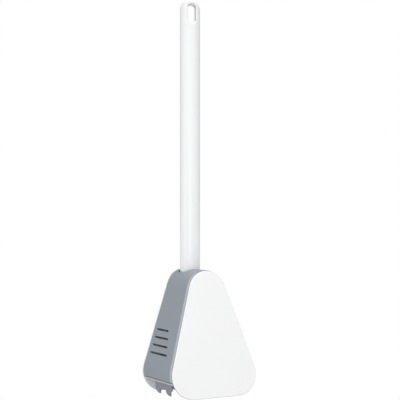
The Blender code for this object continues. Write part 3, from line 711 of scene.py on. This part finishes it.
def soft_rubber():
    """Soft moulded rubber: dull, with a faint dusty sheen and a slight orange-peel skin."""
    finish = Finish(
        "soft grey rubber", RUBBER_GREY, roughness=0.7, IOR=1.5, Sheen_Weight=0.15, Sheen_Roughness=0.4
    )
    finish.mottle(0.06, scale=260.0, detail=4.0, roughness=0.6)
    finish.gloss(0.62, 0.8, scale=600.0, detail=3.0)
    finish.relief(finish.noise(scale=700.0, detail=3.0), distance=0.00003)
    return finish.material


def foam_tape():
    """Dark closed-cell foam: small cells of unlike size that show as pits, each darkened towards its middle
    as painted shade.
    """
    finish = Finish("dark foam tape", FOAM, roughness=0.9, IOR=1.5)
    # Painted shade: each cell darker towards its middle, as in a pit
    finish.tint(finish.cells(scale=2600.0), FOAM_PIT_SHADE, FOAM_WALL)
    finish.gloss(0.85, 0.95, scale=900.0, detail=3.0)
    finish.relief(finish.cells(scale=2200.0), distance=0.00012)
    finish.relief(finish.noise(scale=500.0), distance=0.00008)
    return finish.material


def zinc_steel():
    """Zinc-plated steel: a slight spangle in tone and gloss, with fine marks from turning."""
    finish = Finish("zinc plated steel", ZINC, roughness=0.32, Metallic=1.0)
    finish.tint(finish.cells(scale=1800.0), *shades(ZINC, 0.08))
    finish.gloss(0.24, 0.42, scale=1600.0, detail=3.0, roughness=0.6, stretch=(1.0, 0.15, 1.0))
    finish.relief(finish.noise(scale=5000.0, stretch=(1.0, 0.1, 1.0)), distance=0.000004)
    return finish.material


def show_to_camera(tree, seen, lighting, surface):
    """Shows one shader to the camera and lets the other one light the object."""
    path, mix = tree.nodes.new("ShaderNodeLightPath"), tree.nodes.new("ShaderNodeMixShader")
    tree.links.new(path.outputs["Is Camera Ray"], mix.inputs["Fac"])
    tree.links.new(lighting, mix.inputs[1])
    tree.links.new(seen, mix.inputs[2])
    tree.links.new(mix.outputs["Shader"], surface)


def pale_floor():
    """Paper lit from behind: white to the camera, and a soft pale light to the object above it."""
    finish = Finish(
        "pale floor paper", FLOOR_TONE, roughness=0.9, Emission_Color=LIGHT, Emission_Strength=FLOOR_GLOW
    )
    finish.mottle(0.003, scale=3.0)
    lit = finish.node("ShaderNodeEmission", Color=LIGHT, Strength=1.0).outputs["Emission"]
    surface = finish.tree.nodes["Material Output"].inputs["Surface"]
    show_to_camera(finish.tree, lit, finish.shader.outputs["BSDF"], surface)
    return finish.material


# Studio


def make_camera():
    """Level camera turned to the left of the front, with the picture's middle at the eye height."""
    c, s = math.cos(CAMERA_TURN), math.sin(CAMERA_TURN)
    right, ahead = Vector((c, -s, 0)), Vector((s, c, 0))
    data = bpy.data.cameras.new("photo_camera")
    data.sensor_width = CAMERA_SENSOR
    data.lens = CAMERA_LENS
    camera = bpy.data.objects.new("photo_camera", data)
    place = CAMERA_RIGHT * right - CAMERA_DISTANCE * ahead + Vector((0, WALL_Y, EYE_HEIGHT))
    turn = Matrix((right, Vector((0, 0, 1)), -ahead)).transposed()
    camera.matrix_world = Matrix.Translation(place) @ turn.to_4x4()
    bpy.context.scene.collection.objects.link(camera)
    bpy.context.scene.camera = camera


def make_softbox(name, turn, height, distance, size, power):
    """Square light on a ball round the holder, facing its middle. The front is at 0, the right at 90."""
    turn, height = math.radians(turn), math.radians(height)
    back = Vector((math.sin(turn) * math.cos(height), -math.cos(turn) * math.cos(height), math.sin(height)))
    data = bpy.data.lights.new(name, "AREA")
    data.shape = "SQUARE"
    data.size = size
    data.energy = power
    lamp = bpy.data.objects.new(name, data)
    lamp.location = SOFTBOX_AIM + back * distance
    lamp.rotation_euler = (-back).to_track_quat("-Z", "Y").to_euler()
    bpy.context.scene.collection.objects.link(lamp)


def make_world():
    """Even soft light, and a white background where the camera looks past the floor."""
    world = bpy.data.worlds.new("studio")
    bpy.context.scene.world = world
    world.use_nodes = True
    tree = world.node_tree
    light, white = tree.nodes["Background"], tree.nodes.new("ShaderNodeBackground")
    light.inputs["Color"].default_value = LIGHT
    light.inputs["Strength"].default_value = AMBIENT
    white.inputs["Color"].default_value = LIGHT
    surface = tree.nodes["World Output"].inputs["Surface"]
    show_to_camera(tree, white.outputs["Background"], light.outputs["Background"], surface)


def make_floor():
    """A level square of paper, the object standing in its middle."""
    half = FLOOR_HALF
    corners = np.array([(-half, -half, 0.0), (half, -half, 0.0), (half, half, 0.0), (-half, half, 0.0)])
    floor = link_mesh("studio_floor", corners, [(0, 1, 2, 3)])
    floor.data.materials.append(pale_floor())


def make_studio():
    """The camera, the light and the floor, with colours shown as they are."""
    make_camera()
    make_world()
    make_floor()
    for name, place in SOFTBOXES.items():
        make_softbox(name, *place)
    bpy.context.scene.view_settings.view_transform = "Standard"


# Holder


def edge_rings(outline, depth, inset, width, forward=1):
    """Rings of an outline that draws in along a quarter ellipse over the last width up to a depth.

    At each step of the quarter turn it is in by the inset times 1 less the cosine, and back by the width
    times 1 less the sine.
    """
    turn = np.linspace(0.0, math.pi / 2, EDGE_STEPS + 1)
    rings = []
    for drawn_in, back in zip(1 - np.cos(turn), 1 - np.sin(turn)):
        ring = outline(inset * drawn_in)
        end = depth(ring[:, 1]) if callable(depth) else depth
        rings.append(in_depth(ring, end - forward * width * back))
    return rings


def screw_place(name):
    """X and Z of a screw, read from its CAD node."""
    low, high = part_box(name)
    return (low.x + high.x) / 2, (low.z + high.z) / 2


def peg_places():
    """Two pegs on each side of the panel, the same distance in from its edge."""
    heights = (SHELL_FOOT + PEG_ABOVE_FOOT, WAY_TOP - PEG_BELOW_WAY)
    return [(side * half_at(panel_outline(PEG_MARGIN), z), z) for z in heights for side in (-1, 1)]


def handle_way_outline():
    """Slot in the top for the tube, open to the right, with a left end that is squarer in front than behind.

    A point of the end is the cosine and sine of its turn, each to a power, times its reach and half width.
    """
    reach, half = HANDLE_RADIUS + WAY_LEFT_CLEARANCE, HANDLE_RADIUS + HANDLE_CLEARANCE
    depth = WALL_Y - HANDLE_Y
    turn = np.linspace(-math.pi / 2, math.pi / 2, 2 * ARC_STEPS + 1)
    power = np.where(turn > 0, WAY_FRONT_POWER, WAY_REAR_POWER)
    across = np.sign(turn) * np.abs(np.sin(turn)) ** power
    left = together(-reach * np.maximum(np.cos(turn), 0.0) ** power, depth + half * across)
    return np.concatenate([left, [(FAR, depth + half), (FAR, depth - half)]])


def vent_outline(number):
    """Level slot with round ends. The higher a slot is, the further back its front end stops."""
    z = SHELL_FOOT + VENT_ABOVE_FOOT + VENT_PITCH * number
    rear = SHELL_REAR + VENT_REAR_MARGIN
    front = shell_inside(z) - VENT_FRONT_MARGIN - VENT_STEP_BACK * number
    return round_box_outline(front - rear, VENT_HEIGHT, VENT_HEIGHT / 2, ((front + rear) / 2, z))


def make_outer_shell():
    """The holder's outline from the rear to the leaning front, where it draws in along a quarter ellipse.

    The hollow is the same outline moved in by the wall, and the ways, vents and lip are cut from the wall.
    """
    rings = [
        in_depth(holder_outline(), SHELL_REAR),
        in_depth(holder_outline(), lambda z: shell_front(z) - RIM_BEVEL - RIM_BAND),
        *edge_rings(holder_outline, shell_front, PANEL_INSET, RIM_BEVEL),
    ]
    shell = loft("outer_shell_dressed", rings)
    cut(shell, prism("hollow", holder_outline(SHELL_WALL), 0.0, shell_inside))
    for name in ("shell_screw_lower", "shell_screw_upper"):
        x, z = screw_place(name)
        front, rear = y_at(shell_inside(z) + FRONT_WALL / 2), y_at(SHELL_REAR)
        join(shell, rod("boss", BOSS_RADIUS, front, rear, (x, z)))
        cut(shell, rod("bore", SCREW_RADIUS + SEAM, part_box(name)[0].y - SEAM, FAR, (x, z)))
    lip_top = SHELL_FOOT + LIP_HEIGHT
    groove = prism("lip_groove", box_outline(-FAR, FAR, lip_top, lip_top + LIP_GROOVE), -FAR, FAR)
    cut(groove, prism("lip_core", holder_outline(LIP_GROOVE_DEPTH), -2 * FAR, 2 * FAR))
    cut(
        shell,
        prism("foot_way", box_outline(-FAR, FAR, -FAR, SHELL_FOOT), -FAR, FAR),
        prism("head_way", box_outline(0.0, FAR, -FAR, WAY_TOP), -FAR, flange_inside),
        slab("handle_way", handle_way_outline(), WAY_TOP - SEAM, HOLDER_TOP + FAR),
        groove,
    )
    cut(shell, *(bar_along_x("vent", vent_outline(k), -FAR, -HALF_AT_FOOT / 3) for k in range(VENT_COUNT)))
    for x, z in peg_places():
        cut(shell, rod("peg_hole", PEG_RADIUS + SEAM, -FAR, y_at(shell_inside(z) / 2), (x, z)))
    return soften(shell, SHELL_FILLET, 2)


def make_front_panel():
    """The panel's outline from its back to its leaning front, where it draws in along a quarter circle."""
    rings = [
        in_depth(panel_outline(EDGE_FILLET), panel_back),
        in_depth(panel_outline(), lambda z: panel_back(z) + EDGE_FILLET),
        *edge_rings(panel_outline, panel_front, PANEL_EDGE, PANEL_EDGE),
    ]
    panel = loft("front_panel_dressed", rings)
    for x, z in peg_places():
        front, rear = y_at(panel_back(z) + EDGE_FILLET), y_at(shell_inside(z) - PEG_TAIL)
        join(panel, rod("peg", PEG_RADIUS, front, rear, (x, z)))
    return shade(turn_outwards(panel))


def on_rim_highlight_and_lip(centre, _normal):
    """Faces of the shell's front rim, given a painted highlight where its bevel turns towards the front
    light, in a band that runs out towards the arch's top, and of the lip.
    """
    behind_front = shell_front(centre[:, 2]) - (WALL_Y - centre[:, 1])
    share = np.clip((HOLDER_TOP - RIM_HIGHLIGHT_BELOW_TOP - centre[:, 2]) / RIM_HIGHLIGHT_TAPER, 0.0, 1.0)
    rim = (behind_front < share * (RIM_BEVEL + RIM_BAND)) & (behind_front > -SEAM)
    lip = centre[:, 2] < SHELL_FOOT + LIP_HEIGHT
    return rim | lip


def on_panel_side_and_shaded_underside(centre, normal):
    """Faces of the panel behind its rounded front edge, and, as painted shade, those of the edge that face
    down.
    """
    behind = WALL_Y - centre[:, 1] < panel_front(centre[:, 2]) - PANEL_EDGE - SEAM
    return behind | (normal[:, 2] < -PAINTED_SHADE_DOWNWARD)


def make_back_plate():
    """The holder's outline carried through the plate with rounded edges, and a rib behind the left wall."""
    rear = edge_rings(holder_outline, 0.0, EDGE_FILLET, EDGE_FILLET, forward=-1)[::-1]
    front = edge_rings(holder_outline, PLATE_THICKNESS, EDGE_FILLET, EDGE_FILLET)
    plate = loft("back_plate_dressed", rear + front)
    low = screw_place("shell_screw_lower")[1] + BOSS_RADIUS + 2 * SEAM
    high = screw_place("shell_screw_upper")[1] - BOSS_RADIUS - 2 * SEAM
    heights = np.linspace(low, high, EDGE_STEPS)
    outer = half_at(holder_outline(SHELL_WALL + SEAM), heights)
    inner = half_at(holder_outline(SHELL_WALL + SEAM + RIB_THICKNESS), heights)
    rib = np.concatenate([together(-outer, heights), together(-inner, heights)[::-1]])
    join(plate, prism("rib", rib, PLATE_THICKNESS / 2, PLATE_THICKNESS + RIB_HEIGHT))
    wide, narrow = SCREW_HEAD_RADIUS + SEAM, SCREW_RADIUS + SEAM
    seat = [(0, -FAR), (wide, -FAR), (wide, SEAM), (narrow, SEAM + SCREW_HEAD_DEPTH), (narrow, FAR), (0, FAR)]
    profile = [(radius, y_at(depth)) for radius, depth in seat]
    cut(plate, *(turned("seat", profile, screw_place(name), "Y", ROUND_SIDES // 2) for name in SCREWS))
    return shade(turn_outwards(plate))


def make_screw(node):
    """Rings round the screw's axis: a flat head that falls into a six-sided recess, a cone, and a thread.

    In the recess a ring's radius is a hexagon's. Along the shank the radius rises and falls with the distance
    and with the turn, which winds the thread.
    """
    tip_y, head_y = (corner.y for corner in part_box(node))
    sides = ROUND_SIDES // 2
    turn = np.arange(sides) * 2 * math.pi / sides
    sixth = math.pi / 3
    hexagon = math.cos(sixth / 2) / np.cos((turn + sixth / 2) % sixth - sixth / 2)
    recess = [(SCREW_RADIUS * wide * hexagon, head_y - SCREW_RECESS * deep) for wide, deep in RECESS_SHAPE]
    head = [
        (SCREW_HEAD_RADIUS - SCREW_EDGE, head_y),
        (SCREW_HEAD_RADIUS, head_y - SCREW_EDGE),
        (SCREW_RADIUS, head_y - SCREW_HEAD_DEPTH),
    ]
    step = THREAD_PITCH / THREAD_STEPS
    shank_y = np.arange(head_y - SCREW_HEAD_DEPTH - step, tip_y + SCREW_RADIUS, -step)
    wave = 0.5 - 0.5 * np.cos(2 * math.pi * shank_y[:, None] / THREAD_PITCH + turn)
    shank = [(SCREW_RADIUS - THREAD_DEPTH * row, y) for row, y in zip(wave, shank_y)]
    levels = [*recess, *head, *shank, (SCREW_EDGE, tip_y)]
    radius = np.stack([ring + 0.0 * turn for ring, _ in levels])
    along = np.array([[y] for _, y in levels])
    x, z = screw_place(node)
    rings = together(x + radius * np.cos(turn), along, z + radius * np.sin(turn))
    return shade(loft(node + "_dressed", rings))


def make_foam_pad(node):
    """A slab with round corners whose edge bulges by the sine of its way through the thickness."""
    low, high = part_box(node)
    width, height = high.x - low.x, high.z - low.z
    bulge = PAD_BULGE * (high.y - low.y)
    centre = ((low.x + high.x) / 2, (low.z + high.z) / 2)
    rings = []
    for share in np.linspace(0.0, 1.0, 2 * EDGE_STEPS + 1):
        out = bulge * (math.sin(math.pi * share) - 1)
        corner = PAD_CORNER + out
        outline = round_box_outline(width + 2 * out, height + 2 * out, corner, centre, 2 * EDGE_STEPS)
        rings.append(together(outline[:, 0], high.y + (low.y - high.y) * share, outline[:, 1]))
    return shade(loft(node + "_dressed", rings))


# Brush


def make_handle_tube():
    """A wall's cross-section with rounded ends, turned round the handle's axis."""
    low, high, edge = TUBE_LOW, HANDLE_TOP - CAP_LENGTH - FINE_SEAM, EDGE_FILLET
    profile = np.concatenate(
        [
            arc(HANDLE_RADIUS - edge, low + edge, edge, -math.pi / 2, 0.0, EDGE_STEPS),
            [(HANDLE_RADIUS, high - FINE_SEAM), (HANDLE_RADIUS - FINE_SEAM, high), (BORE_RADIUS, high)],
            arc(BORE_RADIUS + edge, low + edge, edge, math.pi, 1.5 * math.pi, EDGE_STEPS),
        ]
    )
    return shade(turned("handle_tube_dressed", profile, (0.0, HANDLE_Y), closed=True))


def make_hanging_cap():
    """Rounded end of the handle with a long hole through it, as two walls, a crown and the hole's lining.

    The front wall is a grid between the hole and the wall's edge, on the unrolled cylinder. The crown runs
    from the front wall's edge to the rear wall's, level along the hole's direction, with a quarter circle at
    both ends. Seen along the hole it is a half circle that leans to the left by the squared cosine of its
    turn. The lining is a curve that leaves the wall at its own slope and ends along the hole.
    """
    hole_x = HOLE_TO_RIGHT
    radius = HANDLE_RADIUS
    foot_z = HANDLE_TOP - CAP_LENGTH
    dome_z = HANDLE_TOP - radius
    centre_z = HANDLE_TOP - HOLE_TOP_WALL - HOLE_HEIGHT / 2

    half_round = math.pi / 2
    swing = np.linspace(-half_round, half_round, CAP_ROUND + 1)
    top_turn = np.arcsin(np.sin(swing) - DOME_LEAN / radius * np.cos(swing) ** 2)
    side_z = np.linspace(dome_z, foot_z, CAP_REACH + 1)[1:]
    foot_turn = np.linspace(half_round, -half_round, CAP_ROUND // 2 + 1)[1:]
    fillet = np.minimum(DOME_FILLET, FILLET_SHARE * radius * np.cos(top_turn))
    edge_turn = np.concatenate(
        [top_turn, half_round + 0.0 * side_z, foot_turn, -half_round + 0.0 * side_z[1:]]
    )
    crown_z = dome_z + radius * np.cos(swing) - fillet
    edge_z = np.concatenate([crown_z, side_z, foot_z + 0.0 * foot_turn, side_z[::-1][1:]])

    aim = np.arctan2(edge_z - centre_z, radius * np.sin(edge_turn) - hole_x)
    straight = HOLE_HEIGHT / 2 - HOLE_WIDTH / 2

    def slot(grow):
        """Where a ray from the hole's centre meets a slot that is wider by twice the growth."""
        r = HOLE_WIDTH / 2 + grow
        c, s = np.cos(aim), np.sin(aim)
        along_side = r / np.maximum(np.abs(c), TINY)
        round_end = straight * np.abs(s) + np.sqrt(np.maximum(r**2 - (straight * c) ** 2, 0.0))
        reach = np.where(along_side * np.abs(s) <= straight, along_side, round_end)
        return hole_x + reach * c, centre_z + reach * s

    slot_x, slot_z = slot(0.0)
    room = np.hypot(radius * np.sin(edge_turn) - hole_x, edge_z - centre_z)
    room -= np.hypot(slot_x - hole_x, slot_z - centre_z)
    wide_x, wide_z = slot(np.minimum(HOLE_FILLET, FILLET_SHARE * room))
    wall_turn = np.arcsin(wide_x / radius)
    share = np.linspace(0.0, 1.0, CAP_REACH + 1)[:, None]
    turn = wall_turn + (edge_turn - wall_turn) * share
    wall = together(radius * np.sin(turn), radius * np.cos(turn), wide_z + (edge_z - wide_z) * share)

    step = np.linspace(0.0, 1.0, LINING_STEPS)[:, None, None]
    corner_y = np.sqrt(radius**2 - slot_x**2)
    start = together(wide_x, np.sqrt(radius**2 - wide_x**2), wide_z)
    corner = together(slot_x, corner_y, slot_z)
    end = together(slot_x, corner_y - HOLE_FILLET, slot_z)
    lining = start * (1 - step) ** 2 + corner * 2 * step * (1 - step) + end * step**2
    middle = end * (1, 0, 1)
    front_wall = np.concatenate([middle[None], lining[::-1], wall[1:]])

    quarter = np.linspace(0.0, half_round, EDGE_STEPS + 1)[:, None]
    crown_y = radius * np.cos(top_turn) - fillet * (1 - np.cos(quarter))
    crown = together(radius * np.sin(top_turn), crown_y, crown_z + fillet * np.sin(quarter))
    crown = np.concatenate([crown, crown[-1:] * (1, 0, 1)])

    grids = []
    for side in (1, -1):
        grids += [(front_wall * (1, side, 1), True), (crown * (1, side, 1), False)]

    spigot, spigot_z = BORE_RADIUS - SEAM, foot_z - CAP_SPIGOT
    around = np.linspace(0.0, 2 * math.pi, CAP_ROUND + 1)[:-1] + half_round
    levels = np.array([(radius, foot_z), (spigot, foot_z), (spigot, spigot_z), (POLE_RADIUS, spigot_z)])
    wide, z = levels.T[:, :, None]
    grids.append((together(wide * np.cos(around), wide * np.sin(around), z), True))
    cap = patchwork("hanging_cap_dressed", grids)
    place_on_handle(cap, HOLE_TURN)
    return shade(cap)


def patchwork(name, grids):
    """One mesh from several grids of points, each closed round or open, merged where their edges meet."""
    points, faces, first = [], [], 0
    for grid, closed in grids:
        levels, count = grid.shape[:2]
        squares = ring_faces(levels, count, first).reshape(levels - 1, count, 4)
        faces += (squares if closed else squares[:, :-1]).reshape(-1, 4).tolist()
        points.append(grid.reshape(-1, 3))
        first += levels * count
    return turn_outwards(link_mesh(name, np.concatenate(points), faces), PATCH_MERGE)


def place_on_handle(obj, turn):
    """Turns a piece made round the Z axis, its front along -Y, and moves it onto the handle's axis."""
    obj.data.transform(Matrix.Translation((0.0, HANDLE_Y, 0.0)) @ Matrix.Rotation(-turn, 4, "Z"))


def make_bent_neck():
    """Level rings whose middle moves forward in a smooth step: 3 s squared less 2 s cubed of the way.

    On the bend the rings are drawn out in depth by the square root of 1 plus half the squared slope.
    """
    low, spigot_top = (corner.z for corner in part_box("bent_neck"))
    fork_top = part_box("hanger_fork")[1].z
    collar_low = fork_top + SEAM
    collar_high = collar_low + COLLAR_THICKNESS
    spigot = BORE_RADIUS - SEAM
    wide = HANDLE_RADIUS - SEAM
    edge = EDGE_FILLET
    bend_high = fork_top - FORK_THICKNESS - BEND_START
    upper = np.concatenate(
        [
            [(0.0, spigot_top), (spigot - 2 * edge, spigot_top)],
            arc(spigot - edge, spigot_top - edge, edge, math.pi / 2, 0.0, EDGE_STEPS),
            [(spigot, collar_high)],
            arc(wide - edge, collar_high - edge, edge, math.pi / 2, 0.0, EDGE_STEPS),
            arc(wide - edge, collar_low + edge, edge, 0.0, -math.pi / 2, EDGE_STEPS),
            [(NECK_RADIUS + edge, collar_low), (NECK_RADIUS, collar_low - edge)],
        ]
    )
    share = np.linspace(0.0, 1.0, ARC_STEPS + 1)
    bend = together(NECK_RADIUS + (STEM_RADIUS - NECK_RADIUS) * share, bend_high - BEND_HEIGHT * share)
    foot = np.array([(STEM_RADIUS, low + edge), (STEM_RADIUS - edge, low), (0.0, low)])
    radius, z = np.concatenate([upper, bend, foot]).T[:, :, None]
    way = np.clip((bend_high - z) / BEND_HEIGHT, 0.0, 1.0)
    forward = HANDLE_Y - STEM_Y
    y = HANDLE_Y - forward * way**2 * (3 - 2 * way)
    slope = forward * 6 * way * (1 - way) / BEND_HEIGHT
    long = radius * np.sqrt(1 + slope**2 / 2)
    turn = np.arange(ROUND_SIDES) * 2 * math.pi / ROUND_SIDES
    rings = together(radius * np.cos(turn), y + long * np.sin(turn), z)
    return shade(loft("bent_neck_dressed", rings, capped=False))


def make_bristles(name, skin_face, forward):
    """Round bristles in staggered rows on the skin's face, each row as wide as the head there.

    Along a bristle the radius falls from the foot to the tip, after a small flare where it leaves the skin,
    and the tip is rounded. A bristle leans outwards in step with its place.
    """
    heights = np.linspace(BRISTLE_LOW + BRISTLE_INSET, BRISTLE_HIGH - BRISTLE_INSET, BRISTLE_ROWS)
    halves = half_at(head_outline(BRISTLE_MARGIN + BRISTLE_INSET), heights)
    outermost = (BRISTLE_COLUMNS - 1) / 2
    columns = np.arange(BRISTLE_COLUMNS) - outermost
    stagger = BRISTLE_STAGGER * (-1.0) ** np.arange(BRISTLE_ROWS)
    x = halves[:, None] * (columns[None, :] + stagger[:, None]) / (outermost + BRISTLE_STAGGER)
    foot = together(x, heights[:, None]).reshape(-1, 2)
    lean_z = BRISTLE_SPLAY * (foot[:, 1] - heights.mean()) / np.ptp(heights)
    lean = together(BRISTLE_SPLAY * foot[:, 0] / halves.max(), lean_z)
    up, radius = np.array(BRISTLE_LEVELS).T
    turn = np.arange(BRISTLE_SIDES) * 2 * math.pi / BRISTLE_SIDES
    centre = foot[:, None, :] + lean[:, None, :] * up[None, :, None]
    ring = radius[:, None, None] * together(np.cos(turn), np.sin(turn))
    flat = centre[:, :, None, :] + ring[None]
    reach = BRISTLE_REACH * up - BRISTLE_SINK * (up == 0)
    depth = skin_face(foot[:, 1])[:, None] + forward * reach[None, :]
    points = together(flat[..., 0], y_at(depth)[:, :, None], flat[..., 1])
    side = np.arange(BRISTLE_SIDES)
    points_each = len(up) * BRISTLE_SIDES
    first = points_each * np.arange(len(foot))[:, None, None]
    ends = np.stack([points_each - BRISTLE_SIDES + side, side[::-1]])
    faces = (ring_faces(len(up), BRISTLE_SIDES)[None] + first).reshape(-1, 4).tolist()
    faces += (ends[None] + first).reshape(-1, BRISTLE_SIDES).tolist()
    return link_mesh(name, points.reshape(-1, 3), faces)


def skin_at(inset):
    """The head's outline between the pad's lowest and highest level, within the margin and the inset."""
    heights = np.linspace(BRISTLE_LOW + inset, BRISTLE_HIGH - inset, 2 * EDGE_STEPS)
    halves = half_at(head_outline(BRISTLE_MARGIN + inset), heights)
    right = together(halves, heights)
    return np.concatenate([right, (right * (-1, 1))[::-1]])


def make_bristle_pad(node, face_depth, forward):
    """A skin whose face draws in along a quarter circle at its edge, with the bristles in the same mesh."""

    def skin_face(z):
        """Depth of the skin's outer face."""
        return face_depth(z) + forward * (SEAM + SKIN_THICKNESS)

    rings = [in_depth(skin_at(0.0), lambda z: face_depth(z) + forward * SEAM)]
    rings += edge_rings(skin_at, skin_face, SKIN_EDGE, SKIN_EDGE, forward)
    skin = loft(node + "_dressed", rings)
    bristles = make_bristles(node + "_bristles", skin_face, forward)
    work = bmesh.new()
    work.from_mesh(skin.data)
    work.from_mesh(bristles.data)
    bmesh.ops.recalc_face_normals(work, faces=work.faces)
    work.to_mesh(skin.data)
    work.free()
    bpy.data.objects.remove(bristles, do_unlink=True)
    return shade(skin)


def skirt_path(inset, corner_radius=HEAD_CORNER_RADIUS):
    """Open path from the left side, round the foot, to the right side. A negative inset moves it out."""
    outline = head_outline(inset, corner_radius)
    steps = ARC_STEPS + 1
    left, right = outline[-steps:], outline[:steps]
    top_x = half_at(outline, SKIRT_TOP)
    return np.concatenate([[(-top_x, SKIRT_TOP)], left, right, [(top_x, SKIRT_TOP)]])


def fin_rail_outline():
    """Level rail with fins: a fin's rear edge is a quarter ellipse, and its front edge is upright."""
    rise = FIN_ROOT_Z - FIN_TIP_Z
    rail_front = skirt_front(FIN_TOP_Z)
    first, last = HEAD_REAR + FIN_REAR_MARGIN, rail_front - FIN_FRONT_MARGIN
    turn = np.linspace(0.0, math.pi / 2, 2 * EDGE_STEPS)
    points = [[(first - FIN_LENGTH, FIN_TOP_Z)]]
    for tip in np.linspace(first, last, FIN_COUNT):
        front = tip + FIN_TIP_WIDTH
        flare = (front + FIN_FLARE, FIN_ROOT_Z - FIN_FLARE, FIN_FLARE)
        points.append(together(tip - FIN_LENGTH * np.cos(turn), FIN_ROOT_Z - rise * np.sin(turn)))
        points.append([(front, FIN_TIP_Z)])
        points.append(arc(*flare, math.pi, math.pi / 2, EDGE_STEPS))
    points.append([(rail_front, FIN_ROOT_Z), (rail_front, FIN_TOP_Z)])
    return np.concatenate(points)


def make_rim_skirt():
    """A rounded strip carried round the foot of the head, with a rail of fins at each end."""
    outer, inner = skirt_path(-SEAM - SKIRT_THICKNESS, SKIRT_CORNER_RADIUS), skirt_path(-SEAM)
    band = np.concatenate([outer, inner[::-1]])
    skirt = prism("rim_skirt_dressed", band, SKIRT_REAR, skirt_front)
    widest = half_at(head_outline(-SKIRT_THICKNESS, SKIRT_CORNER_RADIUS), FIN_TOP_Z)
    for side in (-1, 1):
        ends = sorted((side * widest, side * (widest - FIN_THICKNESS)))
        join(skirt, bar_along_x("fins", fin_rail_outline(), *ends))
    return soften(skirt)


# The object

make_studio()
white = satin_white()
grey = blue_grey()
# The light grey trim serves as real tone, as a painted highlight and as painted shade
pale = light_grey("light grey plastic and painted light", TRIM_GREY_AND_PAINTED_LIGHT)
paler = light_grey("pale grey matt plastic", PLATE_GREY)
rubber = soft_rubber()
foam = foam_tape()
zinc = zinc_steel()

dress(make_back_plate(), "holder", paler, "grey_plastic", "back_plate")
# The shell's front rim takes the light grey trim as a painted highlight; the lip takes it as its own tone
dress(make_outer_shell(), "holder", grey, "grey_plastic", "outer_shell", trim=pale, on_trim=on_rim_highlight_and_lip)
# The panel's downward faces take the light grey trim as painted shade
dress(make_front_panel(), "holder", white, "white_plastic", "front_panel", trim=pale, on_trim=on_panel_side_and_shaded_underside)
dress(softened_copy("hanger_fork"), "holder", grey, "grey_plastic", "hanger_fork")
for screw in SCREWS:
    dress(make_screw(screw), "holder", zinc, "screw_steel", screw)
for pad in ("adhesive_pad_lower", "adhesive_pad_upper"):
    dress(make_foam_pad(pad), "holder", foam, "foam_tape", pad)

dress(make_handle_tube(), "brush", white, "white_plastic", "handle_tube")
dress(make_hanging_cap(), "brush", white, "white_plastic", "hanging_cap")
dress(make_bent_neck(), "brush", white, "white_plastic", "bent_neck")
dress(softened_copy("head_core", CORE_FILLET), "brush", grey, "grey_plastic", "head_core")
dress(softened_copy("neck_pin", PIN_FILLET), "brush", zinc, "screw_steel", "neck_pin")
for pad, face_depth, forward in (("front_bristle_pad", head_front, 1), ("rear_bristle_pad", head_rear, -1)):
    dress(make_bristle_pad(pad, face_depth, forward), "brush", rubber, "soft_rubber", pad)
dress(make_rim_skirt(), "brush", rubber, "soft_rubber", "rim_skirt")
